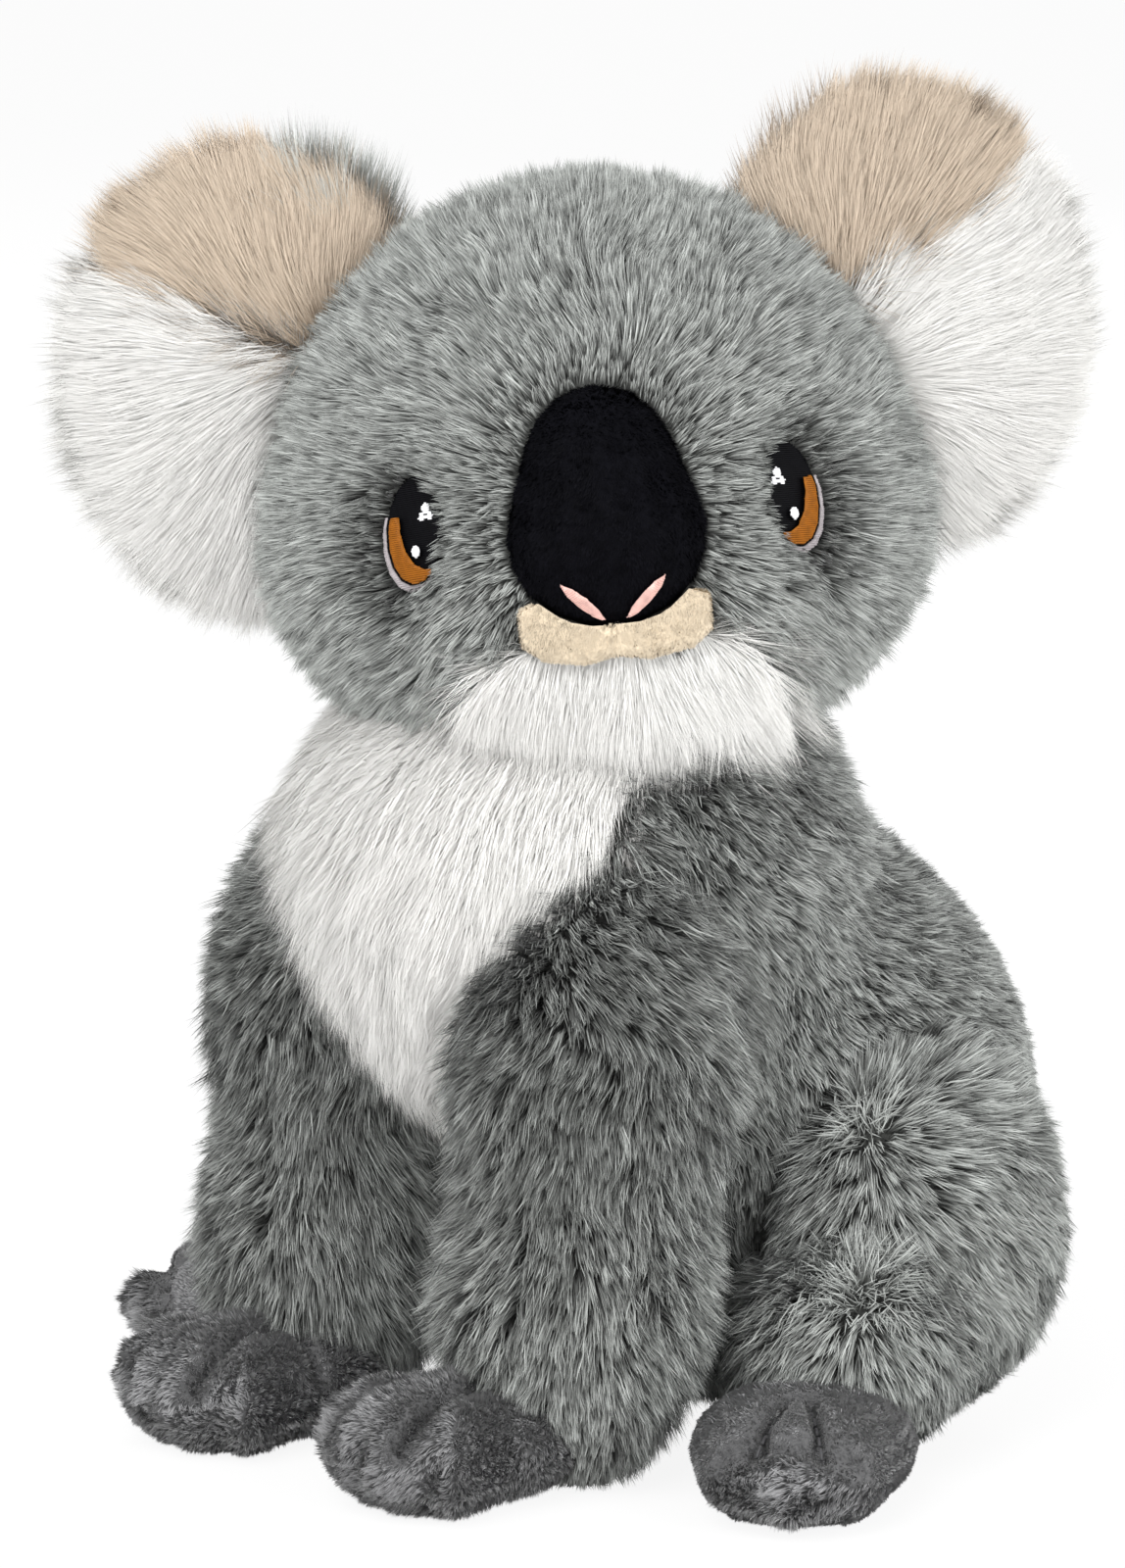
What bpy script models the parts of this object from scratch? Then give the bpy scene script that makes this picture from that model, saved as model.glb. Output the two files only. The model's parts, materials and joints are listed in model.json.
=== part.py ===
"""A seated plush koala with its head turned: sewn skins over stuffing, soft neck, ears, arms and legs.

Metres, +Z up. The toy sits on the floor at z = 0 and its body faces -Y, so its own left side is +X.
Every soft form is a blend of a few ellipsoids (lobes) that share an inner point (core).
"""

import math

import bmesh
import bpy
from mathutils import Matrix, Vector

# Fabric, seams and clearances
SKIN_WALL = 0.0026
SEAM_GAP = 0.0004
FILL_GAP = 0.0006
SWING_GAP = 0.0008
FLAT_DEPTH = 0.0005
WELD = 0.000005
OVERRUN = 0.020

# Torso: a round chest over a round rump
CHEST_DIAMETER = 0.089
CHEST_FORWARD = 0.008
CHEST_HEIGHT = 0.098
RUMP_DIAMETER = 0.099
RUMP_BACK = 0.032
NECK_OPENING = 0.036
NECK_POINTS = 16
PELLET_BAG_WIDTH = 0.070
PELLET_BAG_HEIGHT = 0.030

# White fur bib on the chest
BIB_TOP_WIDTH = 0.070
BIB_TOP_HEIGHT = 0.132
BIB_TIP_HEIGHT = 0.048
BIB_SHARES = ((-0.50, 1.00), (-0.48, 0.69), (-0.43, 0.53), (-0.36, 0.38), (-0.22, 0.19), (0.00, 0.00),
              (0.22, 0.19), (0.36, 0.38), (0.43, 0.53), (0.48, 0.69), (0.50, 1.00))

# Head, in its own frame: -Y is where the face looks
HEAD_HEIGHT = 0.164
HEAD_FORWARD = 0.004
HEAD_TURN_DEG = 50.0
HEAD_LOOK_UP_DEG = 6.0
HEAD_TILT_DEG = 5.5
CRANIUM_WIDTH = 0.094
CRANIUM_DEPTH = 0.090
CRANIUM_TALL = 0.083
CRANIUM_RISE = 0.004
CRANIUM_BACK = 0.002
CHEEKS_WIDTH = 0.103
CHEEKS_DEPTH = 0.087
CHEEKS_TALL = 0.067
CHEEKS_DROP = 0.012
CHEEKS_FORWARD = 0.002
MUZZLE_WIDTH = 0.060
MUZZLE_DEPTH = 0.064
MUZZLE_TALL = 0.046
MUZZLE_DROP = 0.021
MUZZLE_FORWARD = 0.012

# White chin panel, below the mouth
CHIN_WIDTH = 0.047
CHIN_TOP = 0.029
CHIN_TALL = 0.026
CHIN_SHARES = ((-0.50, 0.12), (-0.50, 0.45), (-0.40, 0.80), (-0.20, 1.00), (0.20, 1.00), (0.40, 0.80),
               (0.50, 0.45), (0.50, 0.12), (0.42, -0.06), (0.27, -0.14), (-0.27, -0.14), (-0.42, -0.06))

# Lip band under the nose
LIP_WIDTH = 0.031
LIP_TALL = 0.0117
LIP_TOP = 0.0170
LIP_THICK = 0.0036
LIP_SHARES = ((-0.50, 0.20), (-0.50, 0.68), (-0.40, 0.90), (-0.18, 1.00), (0.00, 0.92), (0.18, 1.00),
              (0.40, 0.90), (0.50, 0.68), (0.50, 0.20), (0.30, 0.00), (-0.30, 0.00))

# Nose: a wide lower bulge and a narrower bridge
NOSE_WIDTH = 0.0330
NOSE_DEPTH = 0.0280
NOSE_TALL = 0.0290
NOSE_DROP = 0.0095
NOSE_FORWARD = 0.0425
BRIDGE_WIDTH = 0.0240
BRIDGE_DEPTH = 0.0240
BRIDGE_TALL = 0.0270
BRIDGE_RISE = 0.0025
NOSE_WALL = 0.0016
NOSTRIL_LENGTH = 0.0094
NOSTRIL_WIDTH = 0.0017
NOSTRIL_OUT = 0.0052
NOSTRIL_DROP = 0.0185
NOSTRIL_SLANT_DEG = 44.0
THREAD_THICK = 0.0007
LEAF_SHARES = ((-0.50, 0.00), (-0.30, 0.38), (0.00, 0.50), (0.30, 0.38), (0.50, 0.00),
               (0.30, -0.38), (0.00, -0.50), (-0.30, -0.38))

# Embroidered eyes, drawn as the face is seen from the front
EYE_APART = 0.0620
EYE_DROP = 0.0050
EYE_WIDTH = 0.0092
EYE_TALL = 0.0180
EYE_LEAN_DEG = 9.0
IRIS_SHARE = 0.96
PUPIL_SHARES = (1.06, 1.04)
PUPIL_PLACE_SHARES = (-0.26, 0.16)
LID_SHARES = (0.30, 0.13)
RIM_WIDTH = 0.0008
GLINT_LARGE = 0.0030
GLINT_LARGE_SHARES = (-0.20, 0.17)
GLINT_SMALL = 0.0017
GLINT_SMALL_SHARES = (0.04, -0.18)
GLINT_OVAL_SHARES = (0.8, 1.2)
EYE_POINTS = 16
GLINT_POINTS = 8

# Ears: flat round pads whose roots lie on the side of the head
EAR_WIDTH = 0.058
EAR_THICK = 0.020
EAR_TALL = 0.068
EAR_OUT = 0.0545
EAR_BACK = 0.014
EAR_UP = 0.020
EAR_SWEEP_DEG = 20.0
EAR_ROOT_OUT = 0.042
EAR_SWING_DEG = 16.0
EAR_WALL = 0.0022
EAR_SEAM_BACK = 0.0018
EAR_TAN_LINE_UP = 0.010
EAR_TAN_LINE_DEG = 26.0

# Arms: they stand on the floor in front of the belly
ARM_OUT = 0.032
ARM_FORWARD = 0.033
ARM_CENTRE_HEIGHT = 0.052
ARM_LEAN_DEG = 7.0
UPPER_ARM_WIDTH = 0.040
UPPER_ARM_DEPTH = 0.043
UPPER_ARM_LENGTH = 0.066
UPPER_ARM_RISE = 0.021
FOREARM_WIDTH = 0.037
FOREARM_DEPTH = 0.038
FOREARM_LENGTH = 0.062
FOREARM_DROP = 0.020

# Front paws
PAW_OUT = 0.0265
PAW_FORWARD = 0.055
PAW_LENGTH = 0.051
PAW_WIDTH = 0.033
PAW_THICK = 0.0215
FINGER_WIDTH = 0.0120
FINGER_LENGTH = 0.029
FINGER_TURNS_DEG = (-38.6, -12.9, 12.9, 38.6)
PALM_SHARE = 0.93
FINGER_THICK_SHARE = 0.96

# Legs: a thigh on the side of the rump and a shin that leads to the foot
THIGH_WIDTH = 0.042
THIGH_DEPTH = 0.055
THIGH_TALL = 0.064
THIGH_OUT = 0.045
THIGH_BACK = 0.029
THIGH_HEIGHT = 0.036
SHIN_WIDTH = 0.034
SHIN_DEPTH = 0.038
SHIN_TALL = 0.033
SHIN_OUT = 0.055
SHIN_BACK = 0.006
SHIN_HEIGHT = 0.020

# Hind feet
FOOT_OUT = 0.067
FOOT_FORWARD = 0.017
FOOT_SPLAY_DEG = 40.0
FOOT_LENGTH = 0.050
FOOT_WIDTH = 0.037
FOOT_THICK = 0.020
TOE_WIDTH = 0.0160
TOE_LENGTH = 0.031
TOE_TURNS_DEG = (-30.0, 0.0, 30.0)
STITCH_RADIUS = 0.0004
STITCH_POINTS = 6
STITCH_TURN_DEG = 15.0
STITCH_FRONT_DEG = 14.0
STITCH_BACK_DEG = 62.0
PAW_WALL = 0.0022

# Swings of the soft seams
EAR_SWEEP_STEPS = 5
HIP_YAW_DEG = 25.0

# How sharply lobes blend, and how finely each form is faceted
SHARP_BLEND = 10
LIMB_BLEND = 6
SOFT_BLEND = 4
BODY_FACETS = (24, 18)
HEAD_FACETS = (24, 18)
LIMB_FACETS = (16, 14)
EAR_FACETS = (20, 12)
PAW_FACETS = (28, 8)
NOSE_FACETS = (16, 12)
BAG_FACETS = (14, 8)
SMOOTH_ANGLE = math.radians(50.0)


def clear_scene():
    """Removes every object, so that the file holds only this toy."""
    for thing in list(bpy.data.objects):
        bpy.data.objects.remove(thing, do_unlink=True)


def material(name, colour, roughness):
    """A plain fabric finish."""
    made = bpy.data.materials.new(name)
    made.use_nodes = True
    shader = made.node_tree.nodes["Principled BSDF"]
    shader.inputs["Base Color"].default_value = (*colour, 1.0)
    shader.inputs["Roughness"].default_value = roughness
    shader.inputs["Metallic"].default_value = 0.0
    made.diffuse_color = (*colour, 1.0)
    return made


def halved(facets):
    """Half as many facets each way, whose corners lie on every second corner of the finer form."""
    return facets[0] // 2, facets[1] // 2


def turned(axis, degrees):
    return Matrix.Rotation(math.radians(degrees), 4, axis)


def lobe(centre, width, depth, height):
    """An ellipsoid by its centre and its three full sizes."""
    return Vector(centre), Vector((width / 2, depth / 2, height / 2))


def reach(lobes, core, direction, grow, power):
    """How far the blended surface lies from the core along a direction."""
    total = 0.0
    for centre, radii in lobes:
        grown = [radius + grow for radius in radii]
        start = Vector([(core[i] - centre[i]) / grown[i] for i in range(3)])
        step = Vector([direction[i] / grown[i] for i in range(3)])
        square = step.dot(step)
        middle = start.dot(step)
        inside = middle * middle - square * (start.dot(start) - 1.0)
        far = (math.sqrt(max(inside, 0.0)) - middle) / square
        total += max(far, 0.0) ** power
    return total ** (1.0 / power)


class Form:
    """A blend of lobes in a frame of its own, with an optional flat underside on the floor."""

    def __init__(self, lobes, core, frame, power, stands=False):
        self.lobes = lobes
        self.core = Vector(core)
        self.frame = frame
        self.power = power
        self.stands = stands
        self.spread = Vector([max(radii[i] for _, radii in lobes) for i in range(3)])

    def reach(self, way, grow):
        return reach(self.lobes, self.core, way, grow, self.power)

    def point(self, direction, grow=0.0):
        """The surface point that lies along a direction, in world places."""
        way = Vector(direction).normalized()
        return self.frame @ (self.core + way * self.reach(way, grow))

    def solid(self, name, facets, grow=0.0):
        """The form as a closed mesh, swollen or shrunk by grow."""
        bm = bmesh.new()
        bmesh.ops.create_uvsphere(bm, u_segments=facets[0], v_segments=facets[1], radius=1.0)
        for vertex in bm.verts:
            way = Vector([vertex.co[i] * self.spread[i] for i in range(3)]).normalized()
            vertex.co = self.frame @ (self.core + way * self.reach(way, grow))
        if self.stands:
            flatten(bm, -grow)
        return object_from(bm, name)


def flatten(bm, height):
    """Cuts away what lies below a height and closes the cut with a flat face."""
    parts = bm.verts[:] + bm.edges[:] + bm.faces[:]
    cut = bmesh.ops.bisect_plane(
        bm, geom=parts, dist=0.0, plane_co=(0.0, 0.0, height), plane_no=(0.0, 0.0, -1.0), clear_outer=True
    )
    rim = [item for item in cut["geom_cut"] if isinstance(item, bmesh.types.BMEdge)]
    bmesh.ops.contextual_create(bm, geom=rim)


def object_from(bm, name):
    """A scene object from a bmesh, with triangles only and its faces turned outward."""
    bmesh.ops.triangulate(bm, faces=bm.faces[:])
    bmesh.ops.recalc_face_normals(bm, faces=bm.faces[:])
    mesh = bpy.data.meshes.new(name)
    bm.to_mesh(mesh)
    bm.free()
    made = bpy.data.objects.new(name, mesh)
    bpy.context.scene.collection.objects.link(made)
    return made


def drop_fins(bm):
    """Removes pairs of faces that share all their corners."""
    groups = {}
    for face in bm.faces:
        groups.setdefault(frozenset(face.verts), []).append(face)
    doubled = [face for group in groups.values() if len(group) == 2 for face in group]
    bmesh.ops.delete(bm, geom=doubled, context="FACES")


def combine(target, tool, operation):
    """Applies a Boolean to the target and removes the tool."""
    modifier = target.modifiers.new("cut", "BOOLEAN")
    modifier.operation = operation
    modifier.solver = "EXACT"
    modifier.object = tool
    bpy.context.view_layer.update()
    graph = bpy.context.evaluated_depsgraph_get()
    result = bpy.data.meshes.new_from_object(target.evaluated_get(graph))
    bm = bmesh.new()
    bm.from_mesh(result)
    bmesh.ops.remove_doubles(bm, verts=bm.verts[:], dist=WELD)
    bmesh.ops.dissolve_degenerate(bm, edges=bm.edges[:], dist=WELD)
    bmesh.ops.triangulate(bm, faces=bm.faces[:])
    drop_fins(bm)
    bm.to_mesh(result)
    bm.free()
    target.modifiers.clear()
    target.data = result
    bpy.data.objects.remove(tool, do_unlink=True)
    return target


def cut(target, tool):
    return combine(target, tool, "DIFFERENCE")


def common(target, tool):
    return combine(target, tool, "INTERSECT")


def copy_of(source, name):
    made = bpy.data.objects.new(name, source.data.copy())
    bpy.context.scene.collection.objects.link(made)
    return made


def prism(outline, near, far, frame):
    """An outline in the front plane (x, z), run along Y from near to far, in a frame."""
    bm = bmesh.new()
    front = [bm.verts.new(frame @ Vector((x, near, z))) for x, z in outline]
    back = [bm.verts.new(frame @ Vector((x, far, z))) for x, z in outline]
    bm.faces.new(front)
    bm.faces.new(back[::-1])
    for i in range(len(outline)):
        j = (i + 1) % len(outline)
        bm.faces.new((front[j], front[i], back[i], back[j]))
    return object_from(bm, "prism")


def block(centre, size, frame):
    """A plain block, in a frame."""
    bm = bmesh.new()
    bmesh.ops.create_cube(bm, size=1.0)
    bmesh.ops.scale(bm, vec=size, verts=bm.verts[:])
    bmesh.ops.translate(bm, vec=centre, verts=bm.verts[:])
    bmesh.ops.transform(bm, matrix=frame, verts=bm.verts[:])
    return object_from(bm, "block")


def widened(outline, margin):
    """An outline moved outward by a margin, from its own middle."""
    middle_x = sum(x for x, _ in outline) / len(outline)
    middle_z = sum(z for _, z in outline) / len(outline)
    moved = []
    for x, z in outline:
        away = math.hypot(x - middle_x, z - middle_z)
        moved.append((x + (x - middle_x) / away * margin, z + (z - middle_z) / away * margin))
    return moved


def oval(width, height, lean_deg, centre, count):
    """An ellipse's points, leaning by an angle."""
    lean = math.radians(lean_deg)
    points = []
    for i in range(count):
        turn = math.tau * i / count
        x = width / 2 * math.cos(turn)
        z = height / 2 * math.sin(turn)
        turned_x = x * math.cos(lean) - z * math.sin(lean)
        turned_z = x * math.sin(lean) + z * math.cos(lean)
        points.append((centre[0] + turned_x, centre[1] + turned_z))
    return points


def finish(made, name, look, home):
    """Names a piece, gives it its finish and hangs it on the empty of its body."""
    made.name = name
    made.data.name = name
    made.data.materials.clear()
    made.data.materials.append(look)
    made.data.shade_smooth()
    made.data.set_sharp_from_angle(angle=SMOOTH_ANGLE)
    made.parent = home
    made.matrix_parent_inverse = home.matrix_world.inverted()
    return made


def pivot(name, place, axis, home=None):
    """An empty on a joint's axis, its own Z along the axis."""
    empty = bpy.data.objects.new(name, None)
    empty.empty_display_size = FINGER_LENGTH
    bpy.context.scene.collection.objects.link(empty)
    turn = Vector(axis).to_track_quat("Z", "Y").to_matrix().to_4x4()
    world = Matrix.Translation(place) @ turn
    if home:
        empty.parent = home
        empty.matrix_parent_inverse = home.matrix_world.inverted()
    empty.matrix_basis = world
    bpy.context.view_layer.update()
    return empty


def chest_centre():
    return Vector((0.0, -CHEST_FORWARD, CHEST_HEIGHT))


def rump_centre():
    return Vector((0.0, RUMP_BACK, RUMP_DIAMETER / 2 - FLAT_DEPTH))


def body_form():
    chest = lobe(chest_centre(), CHEST_DIAMETER, CHEST_DIAMETER, CHEST_DIAMETER)
    rump = lobe(rump_centre(), RUMP_DIAMETER, RUMP_DIAMETER, RUMP_DIAMETER)
    core = (chest_centre() + rump_centre()) / 2
    return Form((chest, rump), core, Matrix.Identity(4), SOFT_BLEND, stands=True)


def head_frame():
    place = Matrix.Translation((0.0, -HEAD_FORWARD, HEAD_HEIGHT))
    return place @ turned("Z", HEAD_TURN_DEG) @ turned("X", -HEAD_LOOK_UP_DEG) @ turned("Y", -HEAD_TILT_DEG)


def head_form():
    cranium = lobe((0.0, CRANIUM_BACK, CRANIUM_RISE), CRANIUM_WIDTH, CRANIUM_DEPTH, CRANIUM_TALL)
    cheeks = lobe((0.0, -CHEEKS_FORWARD, -CHEEKS_DROP), CHEEKS_WIDTH, CHEEKS_DEPTH, CHEEKS_TALL)
    muzzle = lobe((0.0, -MUZZLE_FORWARD, -MUZZLE_DROP), MUZZLE_WIDTH, MUZZLE_DEPTH, MUZZLE_TALL)
    core = (0.0, 0.0, (CRANIUM_RISE - CHEEKS_DROP) / 2)
    return Form((cranium, cheeks, muzzle), core, head_frame(), SHARP_BLEND)


def nose_form():
    bulge = lobe((0.0, -NOSE_FORWARD, -NOSE_DROP), NOSE_WIDTH, NOSE_DEPTH, NOSE_TALL)
    bridge = lobe((0.0, -NOSE_FORWARD, BRIDGE_RISE), BRIDGE_WIDTH, BRIDGE_DEPTH, BRIDGE_TALL)
    core = (0.0, -NOSE_FORWARD, (BRIDGE_RISE - NOSE_DROP) / 2)
    return Form((bulge, bridge), core, head_frame(), SOFT_BLEND)


def ear_frame(side):
    place = Matrix.Translation((side * EAR_OUT, EAR_BACK, EAR_UP))
    return head_frame() @ place @ turned("Z", side * EAR_SWEEP_DEG)


def ear_form(side):
    pad = lobe((0.0, 0.0, 0.0), EAR_WIDTH, EAR_THICK, EAR_TALL)
    return Form((pad,), (0.0, 0.0, 0.0), ear_frame(side), SHARP_BLEND)


def ear_root(side):
    """The seam's middle and the direction along it, in world places."""
    place = head_frame() @ Vector((side * EAR_ROOT_OUT, EAR_BACK, EAR_UP))
    way = (ear_frame(side).to_3x3() @ Vector((0.0, 0.0, 1.0))).normalized()
    return place, way


def arm_form(side):
    place = Matrix.Translation((side * ARM_OUT, -ARM_FORWARD, ARM_CENTRE_HEIGHT))
    upper = lobe((0.0, 0.0, UPPER_ARM_RISE), UPPER_ARM_WIDTH, UPPER_ARM_DEPTH, UPPER_ARM_LENGTH)
    fore = lobe((0.0, 0.0, -FOREARM_DROP), FOREARM_WIDTH, FOREARM_DEPTH, FOREARM_LENGTH)
    leaning = place @ turned("X", -ARM_LEAN_DEG)
    return Form((upper, fore), (0.0, 0.0, 0.0), leaning, LIMB_BLEND, stands=True)


def fan(turns_deg, length, width, thick, core_to_tip):
    """Long lobes that start at the core and spread forward, for fingers or toes."""
    lobes = []
    for degrees in turns_deg:
        way = Vector((math.sin(math.radians(degrees)), -math.cos(math.radians(degrees)), 0.0))
        lobes.append((way, core_to_tip - length / 2, length, width, thick))
    return lobes


class Paw(Form):
    """A palm or sole with fingers or toes fanned out from it."""

    def __init__(self, palm, frame, fingers):
        super().__init__((palm,), (0.0, 0.0, 0.0), frame, SHARP_BLEND, stands=True)
        self.fingers = fingers

    def reach(self, way, grow):
        total = super().reach(way, grow) ** self.power
        for along, middle, length, width, thick in self.fingers:
            across = Vector((-along.y, along.x, 0.0))
            local = Vector((way.dot(across), -way.dot(along), way.z))
            finger = lobe((0.0, -middle, 0.0), width, length, thick)
            total += reach((finger,), Vector((0.0, 0.0, 0.0)), local, grow, self.power) ** self.power
        return total ** (1.0 / self.power)


def paw_form(side):
    place = Matrix.Translation((side * PAW_OUT, -PAW_FORWARD, PAW_THICK / 2 - FLAT_DEPTH))
    palm = lobe((0.0, 0.0, 0.0), PAW_WIDTH, PAW_LENGTH * PALM_SHARE, PAW_THICK)
    thick = PAW_THICK * FINGER_THICK_SHARE
    return Paw(palm, place, fan(FINGER_TURNS_DEG, FINGER_LENGTH, FINGER_WIDTH, thick, PAW_LENGTH / 2))


def foot_form(side):
    place = Matrix.Translation((side * FOOT_OUT, -FOOT_FORWARD, FOOT_THICK / 2 - FLAT_DEPTH))
    sole = lobe((0.0, 0.0, 0.0), FOOT_WIDTH, FOOT_LENGTH * PALM_SHARE, FOOT_THICK)
    thick = FOOT_THICK * FINGER_THICK_SHARE
    toes = fan(TOE_TURNS_DEG, TOE_LENGTH, TOE_WIDTH, thick, FOOT_LENGTH / 2)
    return Paw(sole, place @ turned("Z", side * FOOT_SPLAY_DEG), toes)


def leg_form(side):
    thigh = lobe((side * THIGH_OUT, THIGH_BACK, THIGH_HEIGHT), THIGH_WIDTH, THIGH_DEPTH, THIGH_TALL)
    shin = lobe((side * SHIN_OUT, SHIN_BACK, SHIN_HEIGHT), SHIN_WIDTH, SHIN_DEPTH, SHIN_TALL)
    core = (thigh[0] + shin[0]) / 2
    return Form((thigh, shin), core, Matrix.Identity(4), LIMB_BLEND)


def bib_outline():
    tall = BIB_TOP_HEIGHT - BIB_TIP_HEIGHT
    return [(x * BIB_TOP_WIDTH, BIB_TIP_HEIGHT + z * tall) for x, z in BIB_SHARES]


def make_body(looks, home):
    """Body skin with its neck opening, the bib let into it, the stuffing and the bag of pellets."""
    form = body_form()
    skin = form.solid("body_skin", BODY_FACETS)
    cut(skin, form.solid("inside", halved(BODY_FACETS), -SKIN_WALL))
    bib = copy_of(skin, "chest_bib")
    common(bib, prism(bib_outline(), -RUMP_DIAMETER, -CHEST_FORWARD, Matrix.Identity(4)))
    wide_bib = widened(bib_outline(), SEAM_GAP)
    cut(skin, prism(wide_bib, -RUMP_DIAMETER, SEAM_GAP - CHEST_FORWARD, Matrix.Identity(4)))
    neck = Matrix.Translation(chest_centre() + Vector((0.0, 0.0, CHEST_DIAMETER / 2))) @ turned("X", 90.0)
    hole = oval(NECK_OPENING, NECK_OPENING, 0.0, (0.0, 0.0), NECK_POINTS)
    cut(skin, prism(hole, -OVERRUN, OVERRUN, neck))
    bag_middle = Vector((0.0, RUMP_BACK, SKIN_WALL + FILL_GAP + PELLET_BAG_HEIGHT / 2))
    bag_lobe = lobe(bag_middle, PELLET_BAG_WIDTH, PELLET_BAG_WIDTH, PELLET_BAG_HEIGHT)
    bag_form = Form((bag_lobe,), bag_middle, Matrix.Identity(4), SHARP_BLEND)
    bag = bag_form.solid("pellet_bag", BAG_FACETS)
    stuffing = form.solid("body_stuffing", halved(BODY_FACETS), -SKIN_WALL - FILL_GAP)
    common(bag, form.solid("inside", halved(BODY_FACETS), -SKIN_WALL - FILL_GAP))
    cut(stuffing, bag_form.solid("room", BAG_FACETS, FILL_GAP))
    finish(skin, "body_skin", looks["grey"], home)
    finish(bib, "chest_bib", looks["white"], home)
    finish(bag, "pellet_bag", looks["bag"], home)
    finish(stuffing, "body_stuffing", looks["fill"], home)


def chin_outline():
    return [(x * CHIN_WIDTH, -CHIN_TOP - z * CHIN_TALL) for x, z in CHIN_SHARES]


def patch(name, outline, form, facets, low, high, frame, extent):
    """A thin piece that lies on a form between two heights, inside an outline seen from the front."""
    made = form.solid(name, facets, high)
    common(made, prism(outline, -extent, 0.0, frame))
    cut(made, form.solid("under", facets, low))
    return made


def make_head(looks, home):
    """Head skin with its chin panel, seated on the round of the chest, and its stuffing."""
    form = head_form()
    frame = head_frame()
    chest = body_form()
    skin = form.solid("head_skin", HEAD_FACETS)
    cut(skin, chest.solid("chest", BODY_FACETS, SWING_GAP))
    cut(skin, form.solid("inside", halved(HEAD_FACETS), -SKIN_WALL))
    chin = copy_of(skin, "chin_patch")
    common(chin, prism(chin_outline(), -CHEEKS_DEPTH, -CHEEKS_FORWARD, frame))
    cut(skin, prism(widened(chin_outline(), SEAM_GAP), -CHEEKS_DEPTH, SEAM_GAP - CHEEKS_FORWARD, frame))
    stuffing = form.solid("head_stuffing", halved(HEAD_FACETS), -SKIN_WALL - FILL_GAP)
    cut(stuffing, chest.solid("chest", BODY_FACETS, SWING_GAP))
    finish(skin, "head_skin", looks["grey"], home)
    finish(chin, "chin_patch", looks["white"], home)
    finish(stuffing, "head_stuffing", looks["fill"], home)


def nostril_outline(side):
    """A slanted leaf in the face's front plane."""
    slant = math.radians(side * NOSTRIL_SLANT_DEG)
    outline = []
    for along, across in LEAF_SHARES:
        x, z = along * NOSTRIL_LENGTH, across * NOSTRIL_WIDTH
        turned_x = x * math.cos(slant) - z * math.sin(slant)
        turned_z = x * math.sin(slant) + z * math.cos(slant)
        outline.append((side * NOSTRIL_OUT + turned_x, turned_z - NOSTRIL_DROP))
    return outline


def make_nose(looks, home):
    """Nose skin and filling on the front of the head, the nostril stitches and the lip band."""
    form = nose_form()
    head = head_form()
    frame = head_frame()
    skin = form.solid("nose_skin", NOSE_FACETS)
    cut(skin, head.solid("face", HEAD_FACETS, SEAM_GAP))
    cut(skin, form.solid("inside", halved(NOSE_FACETS), -NOSE_WALL))
    stuffing = form.solid("nose_stuffing", halved(NOSE_FACETS), -NOSE_WALL - SEAM_GAP)
    cut(stuffing, head.solid("face", HEAD_FACETS, SEAM_GAP))
    finish(skin, "nose_skin", looks["black"], home)
    finish(stuffing, "nose_stuffing", looks["fill"], home)
    for side, word in ((1, "left"), (-1, "right")):
        top = SEAM_GAP + THREAD_THICK
        outline = nostril_outline(side)
        stitch = patch("nostril", outline, form, NOSE_FACETS, SEAM_GAP, top, frame, HEAD_HEIGHT)
        cut(stitch, block((0.0, 0.0, 0.0), (NOSE_WIDTH, NOSE_FORWARD * 2, NOSE_TALL * 2), frame))
        finish(stitch, f"nostril_stitch_{word}", looks["pink"], home)
    outline = [(x * LIP_WIDTH, -LIP_TOP - z * LIP_TALL) for x, z in LIP_SHARES]
    lip = patch("lip_band", outline, head, HEAD_FACETS, SEAM_GAP, LIP_THICK, frame, CHEEKS_DEPTH)
    cut(lip, form.solid("nose", NOSE_FACETS, SEAM_GAP * 2 + THREAD_THICK))
    finish(lip, "lip_band", looks["lip"], home)


def eye_place(side, shares):
    """A place in the face's front plane, in shares of the eye's width (outward) and height (up)."""
    return side * (EYE_APART / 2 + EYE_WIDTH * shares[0]), EYE_TALL * shares[1] - EYE_DROP


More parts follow.
